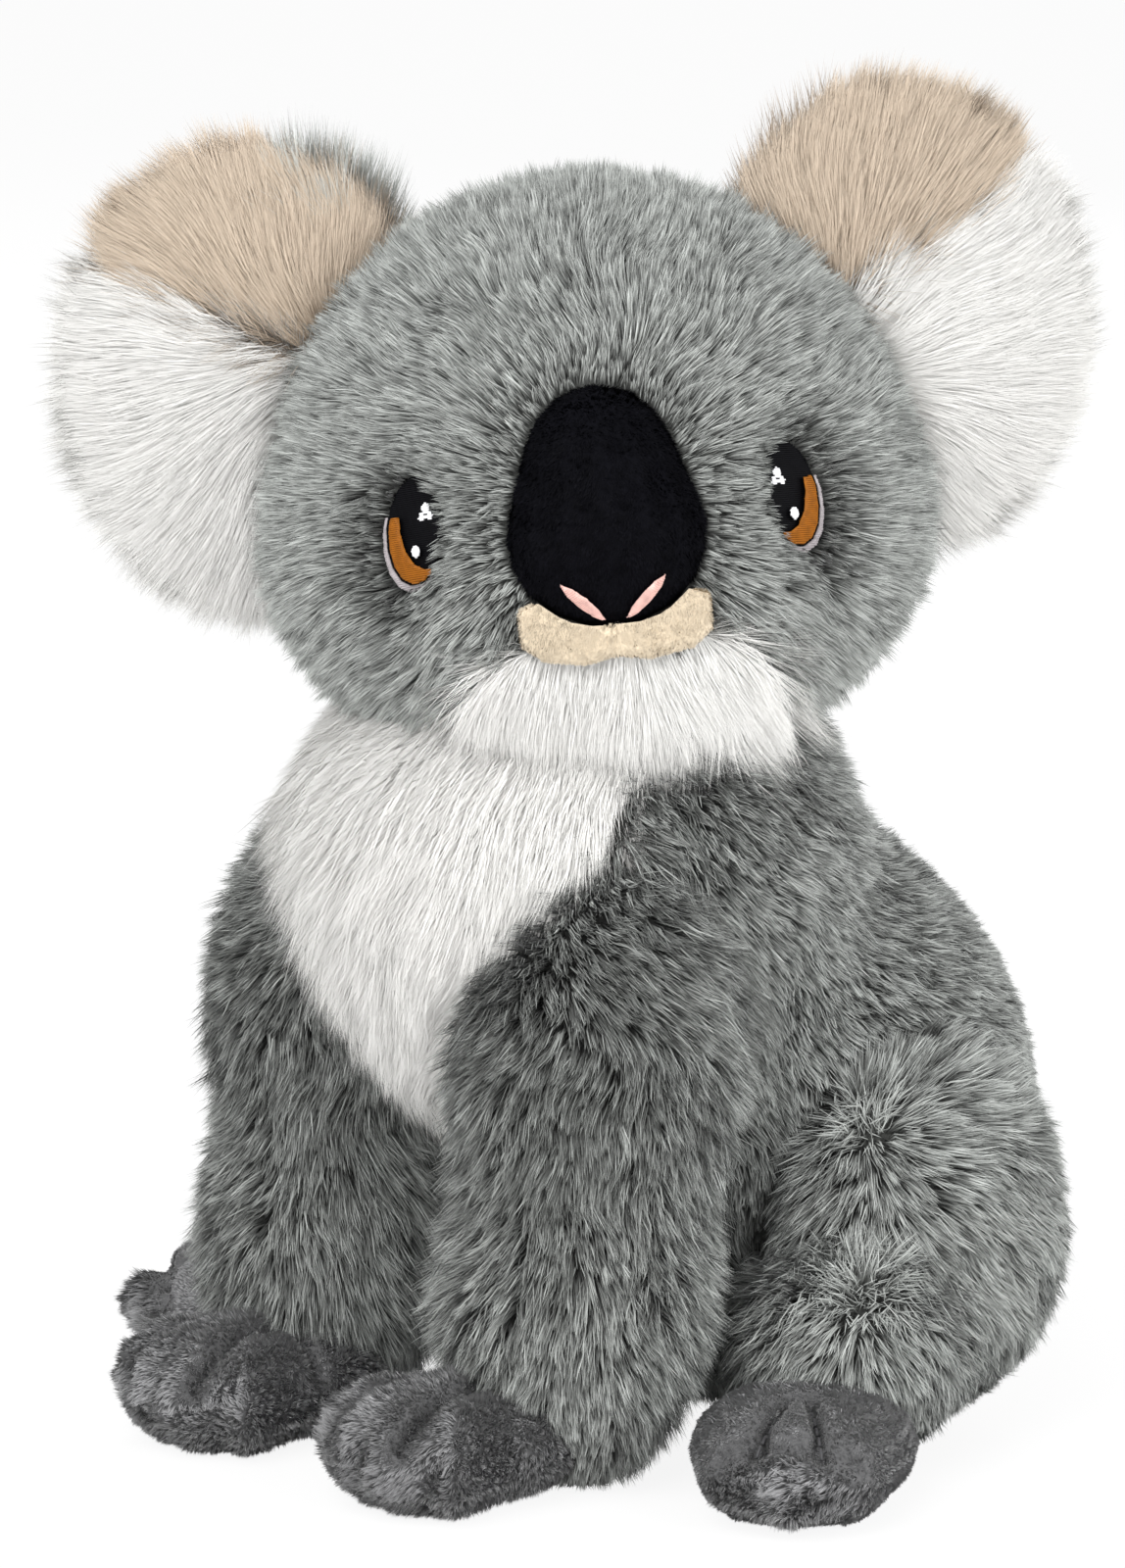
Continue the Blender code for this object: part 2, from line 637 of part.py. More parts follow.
def make_eye(side, word, looks, home):
    """One embroidered eye: black oval, amber crescent, its pale rim low outside, and two glints."""
    form = head_form()
    frame = head_frame()
    centre = eye_place(side, (0.0, 0.0))
    lean = side * EYE_LEAN_DEG
    low, top = SEAM_GAP, SEAM_GAP + THREAD_THICK
    over_low, over_top = top + SEAM_GAP, top + SEAM_GAP + THREAD_THICK

    def sewn(outline, bottom, upper):
        return patch("stitch", outline, form, HEAD_FACETS, bottom, upper, frame, CHEEKS_DEPTH)

    def eye_oval(margin, middle):
        return oval(EYE_WIDTH + margin, EYE_TALL + margin, lean, middle, EYE_POINTS)

    black = sewn(eye_oval(0.0, centre), low, top)
    finish(black, f"eye_black_{word}", looks["black"], home)
    iris_outline = oval(EYE_WIDTH * IRIS_SHARE, EYE_TALL * IRIS_SHARE, lean, centre, EYE_POINTS)
    iris = sewn(iris_outline, over_low, over_top)
    pupil_middle = eye_place(side, PUPIL_PLACE_SHARES)
    pupil = oval(EYE_WIDTH * PUPIL_SHARES[0], EYE_TALL * PUPIL_SHARES[1], lean, pupil_middle, EYE_POINTS)
    cut(iris, prism(pupil, -CHEEKS_DEPTH, 0.0, frame))
    lid_x, lid_z = eye_place(side, LID_SHARES)
    below_place = (lid_x, -CHEEKS_DEPTH / 2, lid_z - EYE_TALL / 2)
    below_size = (EYE_WIDTH, CHEEKS_DEPTH, EYE_TALL)
    common(iris, block(below_place, below_size, frame))
    finish(iris, f"eye_iris_{word}", looks["amber"], home)
    rim = sewn(eye_oval(RIM_WIDTH, (centre[0] + side * RIM_WIDTH / 2, centre[1] - RIM_WIDTH)), low, top)
    cut(rim, prism(eye_oval(SEAM_GAP, centre), -CHEEKS_DEPTH, 0.0, frame))
    common(rim, block(below_place, below_size, frame))
    finish(rim, f"eye_rim_{word}", looks["rim"], home)
    large = ("glint_large", GLINT_LARGE, GLINT_LARGE_SHARES)
    small = ("glint_small", GLINT_SMALL, GLINT_SMALL_SHARES)
    for name, size, place_shares in (large, small):
        wide = size * GLINT_OVAL_SHARES[0]
        tall = size * GLINT_OVAL_SHARES[1]
        outline = oval(wide, tall, lean, eye_place(side, place_shares), GLINT_POINTS)
        glint = sewn(outline, over_low, over_top)
        finish(glint, f"eye_{name}_{word}", looks["glint"], home)


def swung(tool, place, way, degrees):
    """Turns a tool about an axis, in place."""
    about = Matrix.Rotation(math.radians(degrees), 4, way)
    turn = Matrix.Translation(place) @ about @ Matrix.Translation(-place)
    tool.data.transform(turn)
    return tool


def make_ear(side, word, looks, home):
    """An ear: grey back, tan and white front panels, and the padding between them."""
    form = ear_form(side)
    frame = ear_frame(side)
    head = head_form()
    place, way = ear_root(side)
    shell = form.solid("ear", EAR_FACETS)
    padding = form.solid("ear_padding", halved(EAR_FACETS), -EAR_WALL - FILL_GAP)
    for i in range(EAR_SWEEP_STEPS):
        degrees = EAR_SWING_DEG * (2 * i / (EAR_SWEEP_STEPS - 1) - 1)
        for piece in (shell, padding):
            cut(piece, swung(head.solid("head", HEAD_FACETS, SWING_GAP), place, way, degrees))
    cut(shell, form.solid("inside", halved(EAR_FACETS), -EAR_WALL))
    half = EAR_THICK + OVERRUN
    wide = EAR_TALL * 2
    back = copy_of(shell, "back")
    common(back, block((0.0, EAR_SEAM_BACK + SEAM_GAP / 2 + half / 2, 0.0), (wide, half, wide), frame))
    front = shell
    common(front, block((0.0, EAR_SEAM_BACK - SEAM_GAP / 2 - half / 2, 0.0), (wide, half, wide), frame))
    line = frame @ Matrix.Translation((0.0, 0.0, EAR_TAN_LINE_UP)) @ turned("Y", -side * EAR_TAN_LINE_DEG)
    tan = copy_of(front, "tan")
    common(tan, block((0.0, 0.0, SEAM_GAP / 2 + wide / 2), (wide * 2, wide, wide), line))
    common(front, block((0.0, 0.0, -SEAM_GAP / 2 - wide / 2), (wide * 2, wide, wide), line))
    finish(back, f"ear_back_{word}", looks["grey"], home)
    finish(tan, f"ear_tan_{word}", looks["tan"], home)
    finish(front, f"ear_white_{word}", looks["white"], home)
    finish(padding, f"ear_padding_{word}", looks["fill"], home)


def make_arm(side, word, looks, home):
    """An arm sewn to the side of the chest, and its paw."""
    form = arm_form(side)
    body = body_form()
    skin = form.solid("arm", LIMB_FACETS)
    cut(skin, body.solid("body", BODY_FACETS, SWING_GAP))
    cut(skin, form.solid("inside", halved(LIMB_FACETS), -SKIN_WALL))
    stuffing = form.solid("filling", halved(LIMB_FACETS), -SKIN_WALL - FILL_GAP)
    cut(stuffing, body.solid("body", BODY_FACETS, SWING_GAP))
    finish(skin, f"arm_skin_{word}", looks["grey"], home)
    finish(stuffing, f"arm_stuffing_{word}", looks["fill"], home)
    make_paw("paw", word, paw_form(side), form, looks, home)


def make_paw(kind, word, form, limb, looks, home):
    """A paw or foot: its skin, open where it meets the limb, and its stuffing."""
    skin = form.solid(kind, PAW_FACETS)
    cut(skin, limb.solid("limb", LIMB_FACETS, SEAM_GAP))
    palm = Form(form.lobes, form.core, form.frame, form.power, stands=True)
    cut(skin, palm.solid("inside", halved(PAW_FACETS), -PAW_WALL))
    stuffing = palm.solid("filling", halved(PAW_FACETS), -PAW_WALL - FILL_GAP)
    cut(stuffing, limb.solid("limb", LIMB_FACETS, SEAM_GAP))
    finish(skin, f"{kind}_skin_{word}", looks["slate"], home)
    finish(stuffing, f"{kind}_stuffing_{word}", looks["fill"], home)


def stitch_line(form, turn_deg, name):
    """A thread laid over the top of the foot, between two toes."""
    curve = bpy.data.curves.new(name, "CURVE")
    curve.dimensions = "3D"
    curve.bevel_depth = STITCH_RADIUS
    curve.bevel_resolution = 1
    curve.use_fill_caps = True
    spline = curve.splines.new("POLY")
    spline.points.add(STITCH_POINTS - 1)
    turn = math.radians(turn_deg)
    for i, point in enumerate(spline.points):
        share = i / (STITCH_POINTS - 1)
        rise = math.radians(STITCH_FRONT_DEG + (STITCH_BACK_DEG - STITCH_FRONT_DEG) * share)
        way = (math.sin(turn) * math.cos(rise), -math.cos(turn) * math.cos(rise), math.sin(rise))
        place = form.point(way, STITCH_RADIUS + SEAM_GAP * 2)
        point.co = (*place, 1.0)
    guide = bpy.data.objects.new(name, curve)
    bpy.context.scene.collection.objects.link(guide)
    bpy.context.view_layer.update()
    graph = bpy.context.evaluated_depsgraph_get()
    mesh = bpy.data.meshes.new_from_object(guide.evaluated_get(graph))
    bpy.data.objects.remove(guide, do_unlink=True)
    bm = bmesh.new()
    bm.from_mesh(mesh)
    bmesh.ops.remove_doubles(bm, verts=bm.verts[:], dist=STITCH_RADIUS / 100)
    return object_from(bm, name)


def make_leg(side, word, looks, home):
    """A thigh and shin sewn to the side of the rump, and its foot."""
    form = leg_form(side)
    body = body_form()
    skin = form.solid("leg", LIMB_FACETS)
    cut(skin, body.solid("body", BODY_FACETS, SWING_GAP))
    cut(skin, form.solid("inside", halved(LIMB_FACETS), -SKIN_WALL))
    stuffing = form.solid("filling", halved(LIMB_FACETS), -SKIN_WALL - FILL_GAP)
    cut(stuffing, body.solid("body", BODY_FACETS, SWING_GAP))
    finish(skin, f"leg_skin_{word}", looks["grey"], home)
    finish(stuffing, f"leg_stuffing_{word}", looks["fill"], home)
    foot = foot_form(side)
    make_paw("foot", word, foot, form, looks, home)
    for turn_deg, place in ((-STITCH_TURN_DEG, "inner"), (STITCH_TURN_DEG, "outer")):
        stitch = stitch_line(foot, side * turn_deg, "stitch")
        finish(stitch, f"toe_stitch_{place}_{word}", looks["thread"], home)


def looks_of():
    """Every finish by the name of its colour."""
    return {
        "grey": material("grey_fur", (0.22, 0.23, 0.21), 0.95),
        "white": material("white_fur", (0.80, 0.78, 0.74), 0.95),
        "tan": material("tan_fur", (0.62, 0.50, 0.36), 0.95),
        "lip": material("lip_plush", (0.74, 0.62, 0.47), 0.90),
        "black": material("black_velvet", (0.010, 0.010, 0.013), 0.80),
        "slate": material("slate_plush", (0.12, 0.12, 0.125), 0.90),
        "amber": material("amber_thread", (0.45, 0.18, 0.02), 0.50),
        "rim": material("rim_thread", (0.60, 0.56, 0.62), 0.50),
        "glint": material("white_thread", (0.85, 0.85, 0.87), 0.50),
        "pink": material("pink_thread", (0.80, 0.50, 0.45), 0.60),
        "thread": material("dark_thread", (0.03, 0.03, 0.03), 0.70),
        "fill": material("polyester_fill", (0.90, 0.90, 0.90), 1.00),
        "bag": material("bag_cloth", (0.70, 0.70, 0.68), 0.90),
    }


def recentre(home):
    """Puts the middle of the toy's footprint over the origin."""
    bpy.context.view_layer.update()
    corners = []
    for thing in bpy.data.objects:
        if thing.type == "MESH":
            corners += [thing.matrix_world @ vertex.co for vertex in thing.data.vertices]
    middle_x = (min(c.x for c in corners) + max(c.x for c in corners)) / 2
    middle_y = (min(c.y for c in corners) + max(c.y for c in corners)) / 2
    home.location -= Vector((middle_x, middle_y, 0.0))


def main():
    clear_scene()
    looks = looks_of()
    toy = pivot("koala", (0.0, 0.0, 0.0), (0.0, 0.0, 1.0))
    make_body(looks, toy)
    neck = pivot("neck", chest_centre(), (0.0, 0.0, 1.0), toy)
    make_head(looks, neck)
    make_nose(looks, neck)
    for side, word in ((1, "left"), (-1, "right")):
        make_eye(side, word, looks, neck)
        place, way = ear_root(side)
        make_ear(side, word, looks, pivot(f"ear_root_{word}", place, way, neck))
        make_arm(side, word, looks, pivot(f"shoulder_{word}", chest_centre(), (-1.0, 0.0, 0.0), toy))
        hip = turned("Z", side * HIP_YAW_DEG) @ Vector((-1.0, 0.0, 0.0))
        make_leg(side, word, looks, pivot(f"hip_{word}", rump_centre(), hip, toy))
    recentre(toy)


main()
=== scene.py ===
"""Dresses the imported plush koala: long fur, short plush, velvet, embroidery and soft light."""

import json
import math
from functools import cache

import bmesh
import bpy
import numpy as np
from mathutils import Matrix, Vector, noise
from mathutils.bvhtree import BVHTree
from mathutils.kdtree import KDTree


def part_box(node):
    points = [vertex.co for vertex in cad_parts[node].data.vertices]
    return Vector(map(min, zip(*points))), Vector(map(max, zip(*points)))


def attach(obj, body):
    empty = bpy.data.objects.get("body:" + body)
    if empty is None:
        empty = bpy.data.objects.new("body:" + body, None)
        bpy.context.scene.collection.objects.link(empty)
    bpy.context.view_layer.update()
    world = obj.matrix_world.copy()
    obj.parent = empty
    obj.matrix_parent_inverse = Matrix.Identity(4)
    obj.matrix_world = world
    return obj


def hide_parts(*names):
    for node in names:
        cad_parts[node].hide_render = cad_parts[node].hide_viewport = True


bl_info = {
    "name": "Plush koala",
    "version": (1, 0, 0),
    "blender": (4, 5, 0),
    "location": "3D View > Sidebar > Koala",
    "description": "Fur, plush, embroidery and light for a seated plush koala",
    "category": "Object",
}

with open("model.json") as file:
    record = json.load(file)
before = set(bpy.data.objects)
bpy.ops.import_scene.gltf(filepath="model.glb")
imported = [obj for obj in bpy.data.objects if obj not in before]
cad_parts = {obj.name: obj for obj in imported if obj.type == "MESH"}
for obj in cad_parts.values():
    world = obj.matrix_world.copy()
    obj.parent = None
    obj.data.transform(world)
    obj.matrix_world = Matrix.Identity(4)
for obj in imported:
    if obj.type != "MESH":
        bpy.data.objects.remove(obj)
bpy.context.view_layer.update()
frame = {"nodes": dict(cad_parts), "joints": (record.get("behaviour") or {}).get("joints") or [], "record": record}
BODY_OF = {node: body for body, nodes in frame["record"]["behaviour"]["bodies"].items() for node in nodes}
SIDES = ("left", "right")
UP = np.array((0.0, 0.0, 1.0))
LEVEL = np.array((1.0, 1.0, 0.0))
MM2_PER_M2 = 1e6
TINY = 1e-9
NUDGE = 1e-6

# How finely a surface is cut up: bare cloth, and cloth that carries fur, the face's fur or short plush
BACKING_CUTS = 1
FIELD_CUTS = 2
FACE_CUTS = 3
PLUSH_CUTS = 3
FILLING_CUTS = 2
MERGE = 1e-6
CLOTH_CORNER = math.radians(50.0)
THREAD_CORNER = math.radians(70.0)

# A surface is free where nothing else lies this near in front of it, looked at from just above it
FREE_AIR = 0.0016
CLEAR_START = 0.0004

# How far outside a paw, foot or lip a line starts that is laid down on it
ABOVE = 0.05

# Strands: how deep a root sits, how wide a lock is at its bend, and the spread and range of its tones
ROOT_SINK = 0.0003
TAPER = 0.85
TONE_SPREAD = 0.003
TONE_RANGE = (0.01, 0.99)
FLOOR_CLEAR = 0.0003

# Coats of fine pale strands that lie smooth
SMOOTH = {"bent": 0.2, "lean_vary": 6.0, "loose": 0.06, "soft": 1.0, "tone_clump": 0.15, "tone_loose": 0.1}

# Short plush: the half width of a fold's floor, and the tone of each paw and of the feet; these are copies of one
# plush, and painted light makes the far right paw and the feet paler than the near left paw
FOLD_FLOOR = 0.0016
PAW_TONES_PAINTED_LIGHT = {"paw_skin_left": 0.55, "paw_skin_right": 0.80}
FOOT_TONE_PAINTED_LIGHT = 0.72

# The size of the lumps in the filling of the padded pieces
LUMP = 0.006

# Satin stitch: the step along a thread, how far above the cloth it is laid from, and its share of a row
STITCH_STEP = 0.0004
REACH = 0.012
THREAD_SHARE = 0.56

# Running stitch: the length of a stitch and of the gap after it, and how deep it lies in its fold
STITCH_LONG = 0.0022
STITCH_SHORT = 0.0009
STITCH_DEPTH = 0.0028


def colour(name, text, default):
    return bpy.props.FloatVectorProperty(name=name, description=text, subtype="COLOR", size=3, min=0.0,
                                         max=1.0, default=default)


def length(name, text, default):
    return bpy.props.FloatProperty(name=name, description=text, subtype="DISTANCE", unit="LENGTH", min=0.0,
                                   default=default, precision=5)


def share(name, text, default):
    return bpy.props.FloatProperty(name=name, description=text, subtype="FACTOR", min=0.0, max=2.0,
                                   default=default)


def angle(name, text, degrees):
    return bpy.props.FloatProperty(name=name, description=text, subtype="ANGLE",
                                   default=math.radians(degrees))


def number(name, text, default):
    return bpy.props.FloatProperty(name=name, description=text, default=default)


class KoalaFur(bpy.types.PropertyGroup):
    """Sizes of the long pile."""

    head: length("Head pile", "Length of the fur on the head", 0.0078)
    body: length("Body pile", "Length of the fur on the back and rump", 0.0066)
    limb: length("Limb pile", "Length of the fur on the arms and legs", 0.0085)
    bib: length("Bib pile", "Length of the white fur on the chest", 0.0165)
    chin: length("Chin pile", "Length of the white fur on the chin", 0.0125)
    ear: length("Ear pile", "Length of the fur on the ears", 0.0125)
    strand: length("Strand width", "Width of one lock of grey fur at its root", 0.00031)
    fine: length("Fine strand width", "Width of one lock of white or tan fur at its root", 0.00018)
    thickness: share("Density", "Share of the full number of locks", 1.0)


class KoalaPlush(bpy.types.PropertyGroup):
    """Sizes of the short pile and of the stitching."""

    paw: length("Paw pile", "Length of the plush on the paws and feet", 0.0018)
    nose: length("Nose pile", "Length of the black pile on the nose", 0.0009)
    lip: length("Lip pile", "Length of the cream pile under the nose", 0.0007)
    thread: length("Thread", "Thickness of the embroidery thread", 0.00034)
    density: share("Density", "Share of the full number of hairs", 1.0)


class KoalaColours(bpy.types.PropertyGroup):
    """The toy's colours."""

    # The grey roots are dark partly as the fur's own colour and partly as painted shade deep in the pile
    grey_root: colour("Grey roots", "Grey fur close to the fabric", (0.030, 0.031, 0.029))
    grey_body: colour("Grey fur", "Grey fur halfway up", (0.160, 0.167, 0.157))
    grey_tip: colour("Grey tips", "Pale tips of the grey fur", (0.590, 0.615, 0.590))
    white_root: colour("White roots", "White fur close to the fabric", (0.735, 0.727, 0.705))
    white_tip: colour("White tips", "Tips of the white fur", (0.775, 0.767, 0.744))
    tan_root: colour("Tan roots", "Tan fur close to the fabric", (0.350, 0.274, 0.202))
    tan_tip: colour("Tan tips", "Tips of the tan fur", (0.560, 0.465, 0.366))
    slate: colour("Paw plush", "Dark plush of the paws and feet", (0.160, 0.160, 0.163))
    cream: colour("Lip plush", "Cream plush under the nose", (0.695, 0.588, 0.440))
    black: colour("Nose plush", "Black pile of the nose", (0.0035, 0.0035, 0.0050))
    amber: colour("Iris thread", "Amber thread of the eyes", (0.245, 0.080, 0.005))
    pink: colour("Nostril thread", "Pink thread of the nostrils", (0.640, 0.390, 0.345))


class KoalaStage(bpy.types.PropertyGroup):
    """Camera and light."""

    azimuth: angle("Azimuth", "Camera turned about the toy", 48.0)
    elevation: angle("Elevation", "Camera above the floor", 11.0)
    distance: length("Distance", "From the camera to the toy", 1.5)
    lens: number("Lens", "Focal length in millimetres", 202.1)
    target: bpy.props.FloatVectorProperty(name="Target", description="Point that the camera faces",
                                          subtype="TRANSLATION", default=(-0.005, -0.0064, 0.1095))
    floor: colour("Floor", "Pale studio floor", (0.93, 0.93, 0.93))
    key: number("Key light", "Power of the large soft lamp", 25.0)
    fill: number("Fill light", "Power of the second lamp", 11.0)
    back: number("Back light", "Power of the lamp behind the toy", 11.0)
    sky: number("Sky", "Even light from all round", 0.66)


# Vectors

def unit(rows):
    size = np.linalg.norm(rows, axis=1, keepdims=True)
    return rows / np.maximum(size, TINY)


def direction(row):
    """One vector at unit length."""
    return unit(row[None, :])[0]


def along_surface(rows, normals):
    """The part of each vector that lies in the surface, at unit length."""
    return unit(rows - normals * np.sum(rows * normals, axis=1, keepdims=True))


def smoothstep(values, low, high):
    t = np.clip((values - low) / (high - low), 0.0, 1.0)
    return t * t * (3.0 - 2.0 * t)


def fade(values, low, high):
    return 1.0 - smoothstep(values, low, high)


def everywhere(way, points):
    """One vector for every point."""
    return np.tile(np.array(way), (len(points), 1))


def middle(node):
    """The middle of a CAD node's box."""
    low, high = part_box(node)
    return (np.array(low) + np.array(high)) / 2.0


def corners_of(node):
    return np.array([v.co[:] for v in frame["nodes"][node].data.vertices])


# Meshes

def link(name, mesh):
    made = bpy.data.objects.new(name, mesh)
    bpy.context.scene.collection.objects.link(made)
    return made


def dress(made, look, node, stands=False):
    """Gives a piece its finish and the body of its CAD node, which it may stand for."""
    made.data.materials.clear()
    made.data.materials.append(look)
    body = BODY_OF[node]
    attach(made, body)
    if stands:
        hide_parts(node)


def merged_copy(node, cuts=0):
    """A bmesh of a CAD node's surface with its corners joined, cut into small triangles where asked."""
    bm = bmesh.new()
    bm.from_mesh(frame["nodes"][node].data)
    bmesh.ops.remove_doubles(bm, verts=bm.verts[:], dist=MERGE)
    if cuts:
        bmesh.ops.subdivide_edges(bm, edges=bm.edges[:], cuts=cuts, use_grid_fill=True)
        bmesh.ops.triangulate(bm, faces=bm.faces[:])
        bm.normal_update()
    return bm


@cache
def all_solids():
    """One tree of every CAD triangle, to see which surfaces lie free."""
    points, faces = [], []
    for node in frame["nodes"].values():
        start = len(points)
        points += [v.co.copy() for v in node.data.vertices]
        faces += [[start + i for i in f.vertices] for f in node.data.polygons]
    return BVHTree.FromPolygons(points, faces)


def mesh_of(bm, name, smooth=True):
    mesh = bpy.data.meshes.new(name)
    bm.to_mesh(mesh)
    bm.free()
    if smooth:
        mesh.shade_smooth()
    return mesh


class Field:
    """The free outer surface of a CAD node, as triangles that fur can be placed on."""

    def __init__(self, node, cuts=FIELD_CUTS, rounds=2, shape=None):
        self.node = node
        self.solids = all_solids()
        bm = merged_copy(node, cuts)
        free = {f: free_corners(f, self.solids) for f in bm.faces}
        bmesh.ops.delete(bm, geom=[f for f in bm.faces if free[f] == 0], context="FACES")
        inner = [v for v in bm.verts if not v.is_boundary]
        for _ in range(rounds):
            bmesh.ops.smooth_vert(bm, verts=inner, factor=0.5, use_axis_x=True, use_axis_y=True,
                                  use_axis_z=True)
        bm.normal_update()
        if shape is not None:
            shape(bm)
            bm.normal_update()
        self.corners = np.array([[v.co[:] for v in f.verts] for f in bm.faces])
        self.normals = np.array([[v.normal[:] for v in f.verts] for f in bm.faces])
        self.partly = np.array([free[f] < 4 for f in bm.faces])
        bm.free()
        a, b, c = (self.corners[:, i] for i in range(3))
        self.areas = np.linalg.norm(np.cross(b - a, c - a), axis=1) / 2.0

    def sample(self, per_mm2, rng):
        """Evenly spread points with their normals, none of them under another piece."""
        whole = self.areas.sum()
        count = int(whole * MM2_PER_M2 * per_mm2)
        faces = rng.choice(len(self.areas), size=count, p=self.areas / whole)
        u, v = rng.random(count), rng.random(count)
        over = u + v > 1.0
        u[over], v[over] = 1.0 - u[over], 1.0 - v[over]
        mix = np.stack((1.0 - u - v, u, v), axis=1)[:, :, None]
        places = (self.corners[faces] * mix).sum(axis=1)
        ways = unit((self.normals[faces] * mix).sum(axis=1))
        keep = np.ones(count, dtype=bool)
        for i in np.nonzero(self.partly[faces])[0]:
            keep[i] = is_free(Vector(places[i]), Vector(ways[i]), self.solids)
        return places[keep], ways[keep]


def is_free(place, way, solids):
    """True where no other surface lies close in front of a point."""
    return solids.ray_cast(place + way * CLEAR_START, way, FREE_AIR)[0] is None


def free_corners(face, solids):
    """How many of a face's corners and its middle lie free, 0 to 4."""
    middle_point = face.calc_center_median()
    points = [middle_point] + [v.co.lerp(middle_point, 0.15) for v in face.verts]
    return sum(is_free(point, face.normal, solids) for point in points)


def strands_mesh(name, locks, bent, soft):
    """Flat tapering locks, bent once or straight, with their tone and height as UV.

    The normals lean from each lock's face to the cloth's by a share, as light spreads among fibres.
    """
    roots, mids, tips, tones, skin = (locks[key] for key in ("roots", "mids", "tips", "tones", "skin"))
    half = locks["across"] * locks["widths"][:, None] / 2.0
    count = len(roots)
    face = np.cross(half, tips - roots)
    turn = np.where(np.sum(face * skin, axis=1, keepdims=True) < 0.0, -1.0, 1.0)
    half = half * turn
    own = unit(face * turn)
    if bent:
        rows = (roots - half, roots + half, mids + half * TAPER, mids - half * TAPER, tips)
        faces = (0, 1, 2, 0, 2, 3, 3, 2, 4)
        sides, heights = (-1.0, 1.0, 1.0, -1.0, 0.0), (0.0, 0.0, 0.5, 0.5, 1.0)
    else:
        rows = (roots - half, roots + half, tips)
        faces = (0, 1, 2)
        sides, heights = (-1.0, 1.0, 0.0), (0.0, 0.0, 1.0)
    points = np.stack(rows, axis=1)
    points[:, :, 2] = np.maximum(points[:, :, 2], FLOOR_CLEAR)
    corners = len(rows)
    normals = np.repeat(unit(own * (1.0 - soft) + skin * soft), corners, axis=0)
    index = (np.arange(count)[:, None] * corners + np.array(faces)).ravel()
    mesh = bpy.data.meshes.new(name)
    mesh.vertices.add(count * corners)
    mesh.vertices.foreach_set("co", points.astype(np.float32).ravel())
    mesh.loops.add(len(index))
    mesh.loops.foreach_set("vertex_index", index.astype(np.int32))
    mesh.polygons.add(len(index) // 3)
    mesh.polygons.foreach_set("loop_start", np.arange(0, len(index), 3, dtype=np.int32))
    mesh.update(calc_edges=True)
    mesh.shade_smooth()
    shading = mesh.attributes.new("custom_normal", "FLOAT_VECTOR", "POINT")
    shading.data.foreach_set("vector", normals.astype(np.float32).ravel())
    u = tones[:, None] + TONE_SPREAD * np.array(sides)
    v = np.tile(np.array(heights), (count, 1))
    uv = np.stack((u.ravel()[index], v.ravel()[index]), axis=1).astype(np.float32).ravel()
    for layer in ("strand", "OFBake"):
        mesh.uv_layers.new(name=layer).uv.foreach_set("vector", uv)
    mesh.uv_layers["strand"].active_render = True
    return mesh


def picked(locks, chosen):
    return {key: rows[chosen] for key, rows in locks.items()}


def clumps_of(roots, count, rng):
    """Picks clump centres among the roots and the nearest centre of every root."""
    centres = rng.choice(len(roots), size=max(count, 1), replace=False)
    tree = KDTree(len(centres))
    for i, centre in enumerate(centres):
        tree.insert(roots[centre], i)
    tree.balance()
    nearest = np.fromiter((tree.find(p)[1] for p in roots), dtype=np.int64, count=len(roots))
    return centres, nearest


def drift(points, scale, seed):
    """A smooth vector field, read at a few points, the same in every run."""
    noise.seed_set(seed)
    shift = Vector((seed * 3.7, seed * 1.3, seed * 7.1))
    return np.array([noise.noise_vector(Vector(p) / scale + shift)[:] for p in points])


def grow(field, coat, rng, seed):
    """Places one coat's locks and returns the arrays that make its mesh."""
    roots, normals = field.sample(coat["per_mm2"], rng)
    count = len(roots)
    centres, nearest = clumps_of(roots, int(count / coat["clump_size"]), rng)
    sway = drift(roots[centres], coat.get("swirl", 0.011), seed)[nearest]
    comb, tall, tones, flatness = coat["style"](roots, normals)
    comb = along_surface(comb + sway * coat.get("sway", 0.8), normals)
    clump_rand = rng.random((len(centres), 4))[nearest]
    loose = rng.normal(0.0, coat.get("loose", 0.10), (count, 3))
    size = coat["length"] * tall * (0.70 + 0.42 * rng.random(count)) * (0.86 + 0.28 * clump_rand[:, 0])
    vary = (clump_rand[:, 1] - 0.5) * coat.get("lean_vary", 26.0)
    low = np.radians(coat["lean"][0] * flatness + vary)[:, None]
    high = np.radians(coat["lean"][1] * flatness + vary)[:, None]
    low_way = unit(normals * np.cos(low) + comb * np.sin(low) + loose)
    high_way = unit(normals * np.cos(high) + comb * np.sin(high) + loose * 1.6)
    mids = roots + low_way * (size * 0.5)[:, None]
    tips = mids + high_way * (size * 0.5)[:, None]
    pull = coat.get("pull", 0.55)
    own = centres[nearest]
    mids += (mids[own] - mids) * pull * 0.35
    tips += (tips[own] - tips) * pull * (0.6 + 0.4 * clump_rand[:, 2:3])
    ways = unit(tips - roots)
    flat = unit(np.cross(ways, normals) + NUDGE)
    roll = rng.normal(0.0, 0.55, count)[:, None]
    across = unit(flat * np.cos(roll) + np.cross(ways, flat) * np.sin(roll))
    widths = coat["width"] * (0.7 + 0.6 * rng.random(count))
    tones = tones + (clump_rand[:, 3] - 0.5) * coat.get("tone_clump", 0.30)
    tones = np.clip(tones + rng.normal(0.0, coat.get("tone_loose", 0.24), count), *TONE_RANGE)
    return {"roots": roots - normals * ROOT_SINK, "mids": mids, "tips": tips, "across": across,
            "widths": widths, "tones": tones, "skin": normals}


